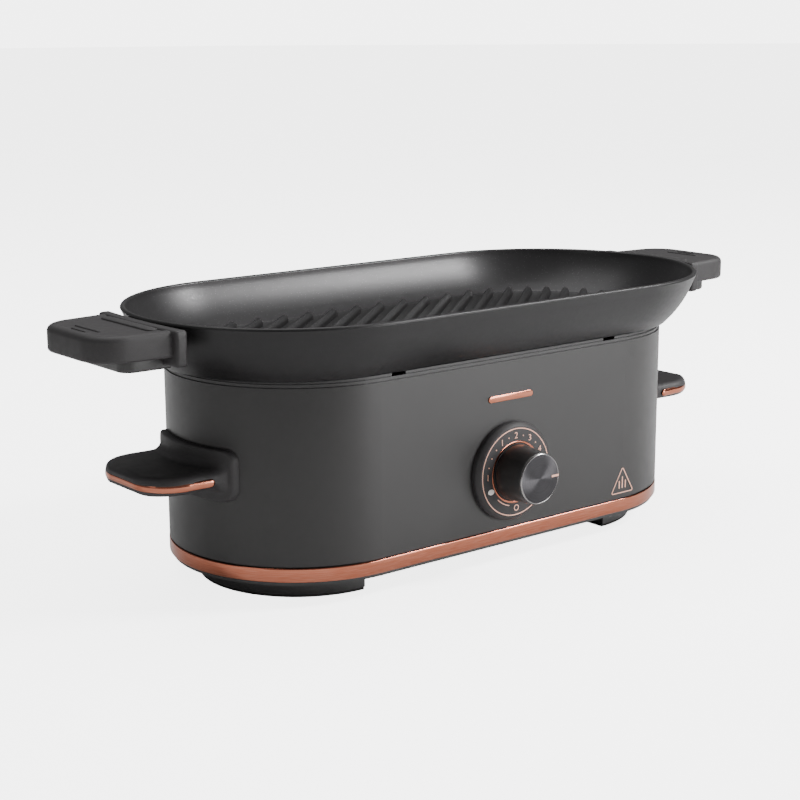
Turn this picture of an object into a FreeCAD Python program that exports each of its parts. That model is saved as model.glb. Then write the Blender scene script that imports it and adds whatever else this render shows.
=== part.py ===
import FreeCAD, Part
import math
import os
import re
import Sketcher
from FreeCAD import Placement, Rotation, Vector

# Electric griddle: a stadium-shaped hot-plate base with a lift-off ribbed grill pan.
# Millimetres, +Z up, the table at z = 0, the long side along X, the knob towards -Y.
# "Span" is half the distance between the two end centres of a stadium, "Radius" its half-width.

doc = FreeCAD.newDocument("electric_griddle")
sheet = doc.addObject("Spreadsheet::Sheet", "Sizes")

SIZES = [
    # driving sizes of the base
    ("HousingRadius", "80"),
    ("HousingSpan", "99"),
    ("HousingTop", "127.2"),
    ("HousingWall", "2.5"),
    ("SkirtBottom", "14.5"),
    ("TrimHeight", "8.5"),
    ("TrimWall", "1.6"),
    ("TrimProud", "0.2"),
    ("ShadowLine", "1"),
    ("FitGap", "0.1"),
    ("CoverThickness", "2"),
    ("CoverInset", "1.6"),
    ("PadThickness", "2"),
    ("FootRadius", "63.4"),
    ("FootWidth", "15.4"),
    ("PadInset", "1"),
    ("RibWidth", "2"),
    ("VentWidth", "3"),
    ("VentLength", "44"),
    ("VentPitch", "8"),
    ("BossRadius", "5"),
    ("BossHeight", "24"),
    ("BossAcross", "71.5"),
    ("BossSpacing", "95"),
    # screws
    ("ScrewRadius", "1.5"),
    ("ScrewHeadRadius", "3"),
    ("ScrewHead", "1.8"),
    ("ScrewGap", "0.1"),
    # collar, plate and tray
    ("CollarThickness", "2"),
    ("CollarInset", "0.8"),
    ("CollarOpening", "64"),
    ("SpigotDepth", "7.2"),
    ("SpigotWall", "2"),
    ("LipHeight", "1.7"),
    ("LipInset", "1.5"),
    ("LipWall", "2.5"),
    ("LipNotch", "10"),
    ("LipNotchAt", "85"),
    ("PanGap", "2"),
    ("PlateRadius", "62"),
    ("PlateThickness", "6.2"),
    ("ElementRadius", "3.25"),
    ("ElementBend", "42"),
    ("ElementSink", "1"),
    ("TerminalAt", "20"),
    ("TerminalRadius", "1.6"),
    ("TerminalLength", "26"),
    ("TrayWall", "1"),
    ("TrayRadius", "68"),
    ("TrayDepth", "15"),
    ("TrayHole", "5"),
    ("LedgeThickness", "3"),
    ("LedgeWidth", "3.5"),
    ("StandoffRadius", "4"),
    ("StandoffAcross", "20"),
    ("BulbRadius", "2.9"),
    ("BulbLength", "80"),
    ("CapillaryRadius", "0.9"),
    ("CapillaryAt", "70"),
    ("FuseRadius", "2"),
    ("FuseLength", "12"),
    ("FuseAt", "60"),
    ("ClipWidth", "8"),
    ("ClipThickness", "0.8"),
    # dial and knob
    ("DialMargin", "5.5"),
    ("DialRadius", "30.6"),
    ("DialThickness", "5.4"),
    ("DialBevel", "2.4"),
    ("DialHole", "6"),
    ("DialRecessRadius", "19"),
    ("DialRecessDepth", "2.6"),
    ("OuterRingRadius", "27.3"),
    ("OuterRingWidth", "0.7"),
    ("InnerRingRadius", "19.6"),
    ("InnerRingWidth", "1.6"),
    ("RingProud", "0.25"),
    ("KnobGap", "0.6"),
    ("KnobBaseRadius", "17.3"),
    ("KnobFaceRadius", "16"),
    ("KnobLength", "20"),
    ("KnobWall", "2"),
    ("KnobHub", "5.5"),
    ("CapThickness", "0.8"),
    ("CapInset", "0.5"),
    ("PointerLength", "6.5"),
    ("PointerWidth", "1.3"),
    ("PointerDepth", "0.3"),
    ("SpindleRadius", "3"),
    ("SpindleGap", "0.05"),
    ("SpindleHole", "4.5"),
    ("SpindleReach", "15"),
    ("ThermostatWidth", "28"),
    ("ThermostatHeight", "30"),
    ("ThermostatDepth", "28"),
    ("BracketThickness", "1.5"),
    ("BracketWidth", "32"),
    ("BracketHeight", "38"),
    ("BracketScrewAt", "14"),
    ("LensRadius", "1.8"),
    ("LensFromAxis", "22"),
    ("LensAngle", "205"),
    ("LensGap", "0.15"),
    ("LampRadius", "2.4"),
    ("LampLength", "15"),
    # badge and heat pictogram
    ("BadgeLength", "36"),
    ("BadgeHeight", "4"),
    ("BadgeThickness", "0.7"),
    ("BadgeAt", "105"),
    ("PictogramAt", "99"),
    ("PictogramFoot", "27"),
    ("PictogramHeight", "18"),
    ("PictogramWidth", "21"),
    ("PictogramLine", "1"),
    ("PictogramThickness", "0.15"),
    # carry handles
    ("CarryPlateHalf", "41"),
    ("CarryPlateFoot", "60.4"),
    ("CarryPlateHeight", "31.2"),
    ("CarryPlateThickness", "4"),
    ("CarryProjection", "43"),
    ("CarryRootHalf", "38"),
    ("CarryCorner", "24"),
    ("CarryCornerAt", "12"),
    ("CarryRootCorner", "4"),
    ("CarryRootSink", "20"),
    ("CarryGripFoot", "69"),
    ("CarryGripHeight", "11.2"),
    ("CarryRound", "3.5"),
    ("StripHeight", "4.9"),
    ("StripFoot", "71.6"),
    ("StripThickness", "1.2"),
    ("StripProud", "0.2"),
    ("StripRootGap", "4"),
    ("CarryScrewAt", "15"),
    ("CarryScrewLength", "22"),
    # grill pan
    ("PanRadius", "100"),
    ("PanSpan", "104"),
    ("PanRise", "37.8"),
    ("PanFoot", "80"),
    ("PanFloor", "5.8"),
    ("PanWall", "3.2"),
    ("PanLip", "5"),
    ("PanLipDrop", "1.6"),
    ("PanBulge", "70"),
    ("PanCentringGap", "1.5"),
    ("PanCentringWidth", "2"),
    ("PanCentringDepth", "1.6"),
    ("GrillRibHeight", "5"),
    ("GrillRibWidth", "4.4"),
    ("GrillRibPitch", "13.2"),
    ("GrillRibAngle", "48"),
    ("GrillRibClear", "3.5"),
    # pan handles
    ("GripRise", "21.4"),
    ("GripHeight", "14.6"),
    ("GripProjection", "49"),
    ("GripHalf", "41.5"),
    ("GripCorner", "21"),
    ("GripCornerAt", "15.5"),
    ("GripRootCorner", "3"),
    ("GripRootSink", "20"),
    ("GripRound", "3"),
    ("FlangeHalf", "43"),
    ("FlangeRise", "15.8"),
    ("FlangeHeight", "21"),
    ("FlangeThickness", "5"),
    ("LugProjection", "24"),
    ("LugHalf", "14"),
    ("LugSink", "3"),
    ("LugThickness", "6"),
    ("LugGap", "0.15"),
    ("BowlGap", "0.3"),
    ("LowerHalf", "30"),
    ("LowerCorner", "8"),
    ("LowerCornerAt", "21"),
    ("LowerProjection", "30"),
    ("LowerRise", "13.8"),
    ("GripScrewOut", "18"),
    ("GripScrewAcross", "8"),
    # inlet
    ("InletAt", "45"),
    ("InletHeight", "42"),
    ("InletWidth", "30"),
    ("InletTall", "22"),
    ("InletDepth", "22"),
    ("InletFlangeWidth", "50"),
    ("InletFlangeTall", "27"),
    ("InletFlange", "2"),
    ("SocketWidth", "26"),
    ("SocketTall", "18"),
    ("SocketDepth", "17"),
    ("PinWidth", "2"),
    ("PinTall", "4"),
    ("PinSpacing", "7"),
    ("InletScrewAt", "20"),
    ("LeadRadius", "1.4"),
    # derived sizes
    ("DialHeight", "=SkirtBottom + TrimHeight + DialMargin + DialRadius"),
    ("CarryReach", "=HousingRadius + CarryProjection"),
    ("CarryRootAt", "=HousingRadius - CarryRootSink"),
    ("StripRootSetback", "=HousingRadius + StripRootGap"),
    ("PanTop", "=HousingTop + PanRise"),
    ("GripFoot", "=HousingTop + GripRise"),
    ("GripReach", "=PanRadius + GripProjection"),
    ("GripRootAt", "=PanRadius - GripRootSink"),
    ("FlangeFoot", "=HousingTop + FlangeRise"),
    ("LugReach", "=PanRadius + LugProjection"),
    ("LowerReach", "=PanRadius + LowerProjection"),
    ("LowerFoot", "=HousingTop + LowerRise"),
    ("GripScrewAt", "=PanRadius + GripScrewOut"),
    ("CentreY", "=(HousingRadius + DialThickness + KnobGap + KnobLength + CapThickness - PanRadius) / 2"),
    ("HousingInner", "=HousingRadius - HousingWall"),
    ("TrimTop", "=SkirtBottom + TrimHeight"),
    ("TrimRadius", "=HousingRadius + TrimProud"),
    ("SkirtRadius", "=TrimRadius - TrimWall - FitGap"),
    ("SkirtInner", "=SkirtRadius - HousingWall"),
    ("WallBottom", "=TrimTop + ShadowLine"),
    ("SkirtTop", "=WallBottom + HousingWall"),
    ("CoverBottom", "=SkirtBottom - CoverThickness"),
    ("CoverRadius", "=HousingRadius - CoverInset"),
    ("StiffenerRadius", "=BossAcross - BossRadius - 1"),
    ("CollarTop", "=HousingTop + CollarThickness"),
    ("SpigotBottom", "=HousingTop - SpigotDepth"),
    ("LedgeTop", "=SpigotBottom - TrayWall"),
    ("LedgeBottom", "=LedgeTop - LedgeThickness"),
    ("TrayBottom", "=LedgeTop - TrayDepth"),
    ("TrayFloorTop", "=TrayBottom + TrayWall"),
    ("PanBottom", "=CollarTop + PanGap"),
    ("PlateBottom", "=PanBottom - PlateThickness"),
    ("ElementHeight", "=PlateBottom - ElementSink"),
    ("DialFace", "=HousingRadius + DialThickness"),
    ("KnobBack", "=DialFace + KnobGap"),
    ("KnobFront", "=KnobBack + KnobLength"),
    ("BracketBack", "=HousingInner - BracketThickness"),
    ("ThermostatBack", "=BracketBack - ThermostatDepth"),
    ("FloorTop", "=PanBottom + PanFloor"),
    ("PanLipFoot", "=PanTop - PanLip"),
    ("PanLipRadius", "=PanRadius - PanLipDrop"),
    ("GripTop", "=GripFoot + GripHeight"),
    ("InletBack", "=HousingRadius - InletDepth"),
    ("LensAcross", "=LensFromAxis * cos(LensAngle * 1 deg)"),
    ("LensUp", "=DialHeight + LensFromAxis * sin(LensAngle * 1 deg)"),
    ("CarryScrewHeight", "=CarryGripFoot + CarryGripHeight / 2"),
    ("TerminalFoot", "=ElementHeight - ElementRadius - TerminalLength"),
    ("BulbHeight", "=PlateBottom - BulbRadius - 0.05"),
    ("FuseHeight", "=PlateBottom - FuseRadius - 0.05"),
    ("BadgeSpan", "=(BadgeLength - BadgeHeight) / 2"),
    ("PanWaist", "=PanFoot - PanWall"),
    ("CarryPlateRadius", "=HousingRadius + CarryPlateThickness"),
    ("LugRoot", "=PanLipRadius - PanWall - LugSink"),
]
# Derived cells are formulas of the sheet; the plain ones are numbers set as text.
for row, (alias, content) in enumerate(SIZES, 1):
    sheet.set(f"A{row}", alias)
    sheet.set(f"B{row}", content)
    sheet.setAlias(f"B{row}", alias)
doc.recompute()

TERM = re.compile(r"([+-]?)\s*(?:([\d.]+)\*)?([A-Za-z]\w*|[\d.]+)")


def number(text):
    """The value of a sum of sheet sizes, such as 'HousingRadius - 0.5*PinWidth'."""
    total = 0.0
    for sign, factor, name in TERM.findall(text):
        value = float(name) if name[0].isdigit() else float(sheet.get(name))
        total += (-1 if sign == "-" else 1) * float(factor or 1) * value
    return total


def formula(text):
    """The same sum as an expression that reads the sheet."""
    return re.sub(r"([A-Za-z]\w*)", r"Sizes.\1", text)


def bind(item, prop, text):
    item.setExpression(prop, formula(text))


def place(item, x="0", y="0", z="0", rotation=None):
    """Put a finished sub-part in the frame; every one shares the shift that centres the object."""
    item.Placement = Placement(Vector(number(x), number(y) + number("CentreY"), number(z)), rotation or Rotation())
    bind(item, "Placement.Base.x", x)
    bind(item, "Placement.Base.y", f"CentreY + {y}" if not y.startswith("-") else f"CentreY {y}")
    bind(item, "Placement.Base.z", z)
    return item


HALF_TURN = Rotation(Vector(0, 0, 1), 180)
finished = []


def finish(item):
    """Count an object as a sub-part, written under its label."""
    finished.append(item)
    return item


# ---------------------------------------------------------------- sketches
def new_body(label):
    body = doc.addObject("PartDesign::Body", label)
    body.AllowCompound = True
    return finish(body)


def new_sketch(body, role, offset="0", across="0"):
    """An empty sketch on one of the body's own origin planes, moved along that plane's normal
    and, where a revolved end needs it, across the plane."""
    sketch = body.newObject("Sketcher::SketchObject", f"{body.Label}_outline")
    support = [item for item in body.Origin.OriginFeatures if item.Role == role][0]
    sketch.AttachmentSupport = (support, [""])
    sketch.MapMode = "FlatFace"
    if offset != "0" or across != "0":
        sketch.AttachmentOffset = Placement(Vector(number(across), 0, number(offset)), Rotation())
        bind(sketch, "AttachmentOffset.Base.x", across)
        bind(sketch, "AttachmentOffset.Base.z", offset)
    return sketch


def fix_across(sketch, shape, end, text):
    index = sketch.addConstraint(Sketcher.Constraint("DistanceX", -1, 1, shape, end, number(text)))
    bind(sketch, f"Constraints[{index}]", text)


def fix_point(sketch, shape, end, across, up):
    """Hold one end of a sketch curve at sheet-driven coordinates."""
    for kind, axis, text in (("DistanceX", -2, across), ("DistanceY", -1, up)):
        if text == "0":
            sketch.addConstraint(Sketcher.Constraint("PointOnObject", shape, end, axis))
        else:
            index = sketch.addConstraint(
                Sketcher.Constraint(kind, -1, 1, shape, end, number(text)))
            bind(sketch, f"Constraints[{index}]", text)


def fix_radius(sketch, shape, text):
    index = sketch.addConstraint(Sketcher.Constraint("Radius", shape, number(text)))
    bind(sketch, f"Constraints[{index}]", text)


def add_outline(sketch, corners):
    """A closed outline. A corner is (across, up), or (across, up, radius) when an arc of that
    radius leads on to the next corner. The arc bulges to the right of the way it is walked, or to
    the left where the radius is written with a minus sign."""
    count = len(corners)
    joints = []
    for here, following in zip(corners, corners[1:] + corners[:1]):
        a = Vector(number(here[0]), number(here[1]), 0)
        b = Vector(number(following[0]), number(following[1]), 0)
        if len(here) == 2:
            joints.append((sketch.addGeometry(Part.LineSegment(a, b), False), 1, 2))
            continue
        hollow = here[2].startswith("-")
        radius = abs(number(here[2]))
        rise = math.sqrt(radius ** 2 - ((b - a).Length / 2) ** 2)
        side = Vector(a.y - b.y, b.x - a.x, 0).normalize()
        centre = (a + b) * 0.5 + side * (-rise if hollow else rise)
        angles = [math.atan2(end.y - centre.y, end.x - centre.x) for end in (a, b)]
        circle = Part.Circle(centre, Vector(0, 0, 1), radius)
        arc = Part.ArcOfCircle(circle, *(reversed(angles) if hollow else angles))
        joints.append((sketch.addGeometry(arc, False), 2, 1) if hollow else (sketch.addGeometry(arc, False), 1, 2))
    for index, (shape, first, last) in enumerate(joints):
        after = joints[(index + 1) % count]
        sketch.addConstraint(Sketcher.Constraint("Coincident", shape, last, after[0], after[1]))
        fix_point(sketch, shape, first, corners[index][0], corners[index][1])
        if len(corners[index]) == 3:
            fix_radius(sketch, shape, corners[index][2].lstrip("-"))


def add_stadium(sketch, radius, span):
    """Two lines and two half-circle ends about the sketch's origin."""
    r = number(radius)
    x = number(span)
    shapes = [
        sketch.addGeometry(Part.LineSegment(Vector(-x, -r, 0), Vector(x, -r, 0)), False),
        sketch.addGeometry(Part.ArcOfCircle(
            Part.Circle(Vector(x, 0, 0), Vector(0, 0, 1), r), -math.pi / 2, math.pi / 2), False),
        sketch.addGeometry(Part.LineSegment(Vector(x, r, 0), Vector(-x, r, 0)), False),
        sketch.addGeometry(Part.ArcOfCircle(
            Part.Circle(Vector(-x, 0, 0), Vector(0, 0, 1), r), math.pi / 2, 3 * math.pi / 2), False),
    ]
    for index, shape in enumerate(shapes):
        sketch.addConstraint(Sketcher.Constraint("Tangent", shape, 2, shapes[(index + 1) % 4], 1))
    for arc, text in ((shapes[1], span), (shapes[3], f"-{span}")):
        fix_point(sketch, arc, 3, text, "0")
    fix_radius(sketch, shapes[1], radius)


def add_hull(sketch, circles):
    """The outline of a taut band round several circles, each (across, up, radius), walked
    anticlockwise: an arc on each circle and a tangent line on to the next."""
    rows = [(number(x), number(y), number(r)) for x, y, r in circles]
    arcs = []
    spans = []
    for here, after in zip(rows, rows[1:] + rows[:1]):
        dx = after[0] - here[0]
        dy = after[1] - here[1]
        spans.append(math.atan2(dy, dx) - math.pi / 2 + math.asin((after[2] - here[2]) / math.hypot(dx, dy)) * -1)
    for index, (x, y, r) in enumerate(rows):
        start = spans[index - 1]
        stop = spans[index]
        circle = Part.Circle(Vector(x, y, 0), Vector(0, 0, 1), r)
        arcs.append(sketch.addGeometry(Part.ArcOfCircle(circle, start, stop), False))
    lines = []
    for index, (x, y, r) in enumerate(rows):
        after = rows[(index + 1) % len(rows)]
        out = Vector(math.cos(spans[index]), math.sin(spans[index]), 0)
        a = Vector(x, y, 0) + out * r
        b = Vector(after[0], after[1], 0) + out * after[2]
        lines.append(sketch.addGeometry(Part.LineSegment(a, b), False))
    for index, arc in enumerate(arcs):
        sketch.addConstraint(Sketcher.Constraint("Tangent", arc, 2, lines[index], 1))
        sketch.addConstraint(Sketcher.Constraint("Tangent", lines[index - 1], 2, arc, 1))
        fix_point(sketch, arc, 3, circles[index][0], circles[index][1])
        fix_radius(sketch, arc, circles[index][2])


def add_circle(sketch, across, up, radius):
    shape = sketch.addGeometry(
        Part.Circle(Vector(number(across), number(up), 0), Vector(0, 0, 1), number(radius)), False)
    fix_point(sketch, shape, 3, across, up)
    fix_radius(sketch, shape, radius)


def box_corners(left, bottom, right, top):
    return [(left, bottom), (right, bottom), (right, top), (left, top)]


# ---------------------------------------------------------------- features
def feature(body, kind, sketch, length, reverse=False):
    item = body.newObject(f"PartDesign::{kind}", f"{body.Label}_{kind.lower()}")
    item.Profile = sketch
    item.Reversed = reverse
    item.Length = number(length)
    bind(item, "Length", length)
    sketch.Visibility = False
    body.Tip = item
    return item


def pad_up(body, foot, height, draw):
    """Raise whatever draw() puts in a horizontal sketch."""
    sketch = new_sketch(body, "XY_Plane", foot)
    draw(sketch)
    return feature(body, "Pad", sketch, height)


def cut_up(body, foot, height, draw):
    """Cut upwards from the level of a horizontal sketch, and make sure that something went."""
    doc.recompute()
    before = body.Shape.Volume
    sketch = new_sketch(body, "XY_Plane", foot)
    draw(sketch)
    item = feature(body, "Pocket", sketch, height, True)
    doc.recompute()
    if not body.Shape.Volume < before:
        raise ValueError(f"a cut in {body.Label} removed nothing")
    return item


def cut_across(body, role, reach, draw, reverse, offset="0"):
    """Cut from an upright origin plane towards one side."""
    doc.recompute()
    before = body.Shape.Volume
    sketch = new_sketch(body, role, offset)
    draw(sketch)
    item = feature(body, "Pocket", sketch, reach, reverse)
    doc.recompute()
    if not body.Shape.Volume < before:
        raise ValueError(f"a cut in {body.Label} removed nothing")
    return item


def ring(outer, inner, span="HousingSpan"):
    """Draws a stadium with a stadium hole."""
    def draw(sketch):
        add_stadium(sketch, outer, span)
        if inner:
            add_stadium(sketch, inner, span)
    return draw


def outline(*loops):
    def draw(sketch):
        for loop in loops:
            add_outline(sketch, loop)
    return draw


def circles(*rows):
    def draw(sketch):
        for across, up, radius in rows:
            add_circle(sketch, across, up, radius)
    return draw


def turned(body, draw):
    """A solid of revolution about the dial's axis, from a half section across it."""
    sketch = new_sketch(body, "YZ_Plane")
    draw(sketch)
    item = body.newObject("PartDesign::Revolution", f"{body.Label}_revolution")
    item.Profile = sketch
    item.ReferenceAxis = (sketch, ["H_Axis"])
    item.Angle = 360
    sketch.Visibility = False
    body.Tip = item
    return item


def rounded(body, radius, wanted):
    """Round the edges whose middle point passes a test."""
    doc.recompute()
    tip = body.Tip
    names = []
    for index, edge in enumerate(tip.Shape.Edges, 1):
        if wanted(edge):
            names.append(f"Edge{index}")
    if not names:
        raise ValueError(f"no edge to round on {body.Label}")
    item = body.newObject("PartDesign::Fillet", f"{body.Label}_fillet")
    item.Base = (tip, names)
    item.Radius = number(radius)
    bind(item, "Radius", radius)
    body.Tip = item
    doc.recompute()
    return item


# ---------------------------------------------------------------- plain parts
ALONG = {
    "+Z": Rotation(),
    "-Z": Rotation(Vector(1, 0, 0), 180),
    "+Y": Rotation(Vector(1, 0, 0), -90),
    "-Y": Rotation(Vector(1, 0, 0), 90),
    "+X": Rotation(Vector(0, 1, 0), 90),
    "-X": Rotation(Vector(0, 1, 0), -90),
}


def at(item, x, y, z, way="+Z"):
    """Place a building block inside the sub-part that it belongs to."""
    item.Placement = Placement(Vector(number(x), number(y), number(z)), ALONG[way])
    bind(item, "Placement.Base.x", x)
    bind(item, "Placement.Base.y", y)
    bind(item, "Placement.Base.z", z)
    item.Visibility = False
    return item


def rod(radius, length, x, y, z, way="+Z"):
    item = doc.addObject("Part::Cylinder", "rod")
    bind(item, "Radius", radius)
    bind(item, "Height", length)
    return at(item, x, y, z, way)


def block(length, width, height, x, y, z):
    item = doc.addObject("Part::Box", "block")
    bind(item, "Length", length)
    bind(item, "Width", width)
    bind(item, "Height", height)
    return at(item, x, y, z)


def fuse(*pieces):
    item = doc.addObject("Part::MultiFuse", "fused")
    item.Shapes = list(pieces)
    return item


def cut(base, tool):
    item = doc.addObject("Part::Cut", "cut")
    item.Base = base
    item.Tool = tool
    return item


def group(label, pieces):
    """Several like solids that share one node."""
    item = doc.addObject("Part::Compound", label)
    item.Links = pieces
    return finish(place(item))


def single(label, item):
    item.Label = label
    return finish(item)


def screw(x, y, z, way, length):
    """A pan-head screw: z is the underside of its head, way the direction of its shank."""
    back = {"+Z": "-Z", "-Z": "+Z", "+Y": "-Y", "-Y": "+Y", "+X": "-X", "-X": "+X"}[way]
    return fuse(rod("ScrewRadius", length, x, y, z, way), rod("ScrewHeadRadius", "ScrewHead", x, y, z, back))


def tube(label, radius, points, bend_share=0.45):
    """A round lead or capillary: straight runs joined by tangent arcs through chosen points."""
    path = [Vector(*(number(part) for part in point)) for point in points]
    edges = []
    start = path[0]
    for before, corner, after in zip(path, path[1:], path[2:]):
        run_in = (corner - before)
        run_out = (after - corner)
        turn = run_in.getAngle(run_out)
        cut_back = bend_share * min(run_in.Length, run_out.Length)
        run_in.normalize()
        run_out.normalize()
        first = corner - run_in * cut_back
        last = corner + run_out * cut_back
        bend = cut_back / math.tan(turn / 2)
        towards = (run_out - run_in).normalize()
        middle = corner + towards * (math.hypot(bend, cut_back) - bend)
        edges.append(Part.LineSegment(start, first).toShape())
        edges.append(Part.Arc(first, middle, last).toShape())
        start = last
    edges.append(Part.LineSegment(start, path[-1]).toShape())
    wire = Part.Wire(edges)
    section = Part.Wire([Part.Circle(path[0], path[1] - path[0], number(radius)).toShape()])
    solid = wire.makePipeShell([section], True, False)
    wanted = math.pi * number(radius) ** 2 * wire.Length
    if abs(solid.Volume - wanted) > 0.01 * wanted:
        raise ValueError(f"{label} has the wrong volume")
    return solid


def feature_of(label, shape):
    item = doc.addObject("Part::Feature", label)
    item.Shape = shape
    return finish(place(item))


# ================================================================ the base
BOSSES = [(x, y) for x in ("0", "BossSpacing", "-BossSpacing") for y in ("BossAcross", "-BossAcross")]
STANDOFFS = [(x, y) for x in ("HousingSpan", "-HousingSpan") for y in ("StandoffAcross", "-StandoffAcross")]

shell = new_body("housing_shell")
pad_up(shell, "WallBottom", "HousingTop - WallBottom", ring("HousingRadius", "HousingInner"))
pad_up(shell, "SkirtBottom", "SkirtTop - SkirtBottom", ring("SkirtRadius", "SkirtInner"))
pad_up(shell, "LedgeBottom", "LedgeThickness", ring("HousingInner + 0.5*HousingWall", "HousingInner - LedgeWidth"))
pad_up(shell, "SkirtBottom", "BossHeight", circles(*[(x, y, "BossRadius") for x, y in BOSSES]))
cut_up(shell, "SkirtBottom", "BossHeight - 2", circles(*[(x, y, "ScrewRadius + ScrewGap") for x, y in BOSSES]))
cut_across(shell, "XZ_Plane", "TrimRadius", circles(
    ("0", "DialHeight", "SpindleHole"),
    ("BracketScrewAt", "DialHeight", "ScrewRadius + ScrewGap"),
    ("-BracketScrewAt", "DialHeight", "ScrewRadius + ScrewGap"),
    ("LensAcross", "LensUp", "LampRadius + LensGap")), True)
cut_across(shell, "XZ_Plane", "TrimRadius", outline(box_corners(
    "InletAt - 0.5*InletWidth - FitGap", "InletHeight - 0.5*InletTall - FitGap",
    "InletAt + 0.5*InletWidth + FitGap", "InletHeight + 0.5*InletTall + FitGap")), False)
cut_across(shell, "XZ_Plane", "TrimRadius", circles(
    ("InletAt + InletScrewAt", "InletHeight", "ScrewRadius + ScrewGap"),
    ("InletAt - InletScrewAt", "InletHeight", "ScrewRadius + ScrewGap")), False)
for sideways in (False, True):
    cut_across(shell, "YZ_Plane", "HousingSpan + TrimRadius", circles(
        ("CarryScrewAt", "CarryScrewHeight", "ScrewRadius + ScrewGap"),
        ("-CarryScrewAt", "CarryScrewHeight", "ScrewRadius + ScrewGap")), sideways)
place(shell)

trim = new_body("trim_band")
pad_up(trim, "SkirtBottom", "TrimHeight", ring("TrimRadius", "TrimRadius - TrimWall"))
place(trim)


cover = new_body("base_cover")
pad_up(cover, "CoverBottom", "CoverThickness", ring("CoverRadius", None))
pad_up(cover, "SkirtBottom", "RibWidth + CoverThickness", ring("StiffenerRadius", "StiffenerRadius - RibWidth"))


def add_half_ring(sketch, x, outer, inner, left=False):
    """Half a ring about (x, 0), bulging right or left: two arcs joined by straight ends."""
    far = number(outer)
    near = number(inner)
    centre = Vector(number(x), 0, 0)
    start = math.pi / 2 if left else -math.pi / 2
    up = Vector(0, 0, 1)
    shapes = [
        sketch.addGeometry(Part.ArcOfCircle(Part.Circle(centre, up, far), start, start + math.pi), False),
        sketch.addGeometry(Part.ArcOfCircle(Part.Circle(centre, up, near), start, start + math.pi), False),
    ]
    way = -1 if left else 1
    for end in (1, -1):
        a = centre + Vector(0, end * way * far, 0)
        b = centre + Vector(0, end * way * near, 0)
        shapes.append(sketch.addGeometry(Part.LineSegment(a, b), False))
    for arc in shapes[:2]:
        fix_point(sketch, arc, 3, x, "0")
    fix_radius(sketch, shapes[0], outer)
    fix_radius(sketch, shapes[1], inner)
    for line, end in ((shapes[2], 2), (shapes[3], 1)):
        sketch.addConstraint(Sketcher.Constraint("Coincident", shapes[0], end, line, 1))
        sketch.addConstraint(Sketcher.Constraint("Coincident", shapes[1], end, line, 2))
        sketch.addConstraint(Sketcher.Constraint("Vertical", line))


for side in ("", "-"):
    pad_up(cover, "PadThickness", "CoverBottom - PadThickness", lambda sketch: add_half_ring(
        sketch, f"{side}HousingSpan", "FootRadius", "FootRadius - FootWidth", bool(side)))
cut_up(cover, "CoverBottom", "CoverThickness", circles(*[(x, y, "ScrewRadius + ScrewGap") for x, y in BOSSES]))
vents = [box_corners(f"{column} - 0.5*VentWidth", "-0.5*VentLength", f"{column} + 0.5*VentWidth", "0.5*VentLength")
         for column in ["0"] + [f"{sign}{k}*VentPitch" for k in range(1, 5) for sign in ("", "-")]]
cut_up(cover, "CoverBottom", "CoverThickness", outline(*vents))
place(cover)

for name, turn in (("foot_pad_right", None), ("foot_pad_left", HALF_TURN)):
    foot_pad = new_body(name)
    pad_up(foot_pad, "0", "PadThickness", lambda sketch: add_half_ring(
        sketch, "HousingSpan", "FootRadius - PadInset", "FootRadius - FootWidth + PadInset"))
    place(foot_pad, rotation=turn)

group("base_screws", [screw(x, y, "CoverBottom", "+Z", "BossHeight - 6") for x, y in BOSSES])

collar = new_body("top_collar")
pad_up(collar, "HousingTop", "CollarThickness", ring("HousingRadius - CollarInset", "CollarOpening"))
pad_up(collar, "SpigotBottom", "SpigotDepth", ring("HousingInner - FitGap", "HousingInner - FitGap - SpigotWall"))
pad_up(collar, "CollarTop", "LipHeight", ring("HousingRadius - LipInset", "HousingRadius - LipInset - LipWall"))
cut_up(collar, "CollarTop", "LipHeight", outline(*[
    box_corners(f"{x}LipNotchAt - 0.5*LipNotch", "-HousingRadius", f"{x}LipNotchAt + 0.5*LipNotch", "HousingRadius")
    for x in ("", "-")]))
place(collar)

# ---------------------------------------------------------------- heating plate, element and tray
def element_path(sketch):
    """An open loop: in along the front, round both ends, out along the front."""
    x = number("HousingSpan")
    r = number("ElementBend")
    gap = number("TerminalAt")
    up = Vector(0, 0, 1)
    shapes = [
        sketch.addGeometry(Part.LineSegment(Vector(-gap, -r, 0), Vector(-x, -r, 0)), False),
        sketch.addGeometry(Part.ArcOfCircle(Part.Circle(Vector(-x, 0, 0), up, r), math.pi / 2, 1.5 * math.pi), False),
        sketch.addGeometry(Part.LineSegment(Vector(-x, r, 0), Vector(x, r, 0)), False),
        sketch.addGeometry(Part.ArcOfCircle(Part.Circle(Vector(x, 0, 0), up, r), -math.pi / 2, math.pi / 2), False),
        sketch.addGeometry(Part.LineSegment(Vector(x, -r, 0), Vector(gap, -r, 0)), False),
    ]
    fix_point(sketch, shapes[0], 1, "-TerminalAt", "-ElementBend")
    fix_point(sketch, shapes[0], 2, "-HousingSpan", "-ElementBend")
    fix_point(sketch, shapes[2], 1, "-HousingSpan", "ElementBend")
    fix_point(sketch, shapes[2], 2, "HousingSpan", "ElementBend")
    fix_point(sketch, shapes[4], 1, "HousingSpan", "-ElementBend")
    fix_point(sketch, shapes[4], 2, "TerminalAt", "-ElementBend")
    fix_across(sketch, shapes[1], 3, "-HousingSpan")
    fix_across(sketch, shapes[3], 3, "HousingSpan")
    for arc, first, last in ((shapes[1], shapes[2], shapes[0]), (shapes[3], shapes[4], shapes[2])):
        sketch.addConstraint(Sketcher.Constraint("Coincident", arc, 1, first, 1))
        sketch.addConstraint(Sketcher.Constraint("Coincident", arc, 2, last, 2))


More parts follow.
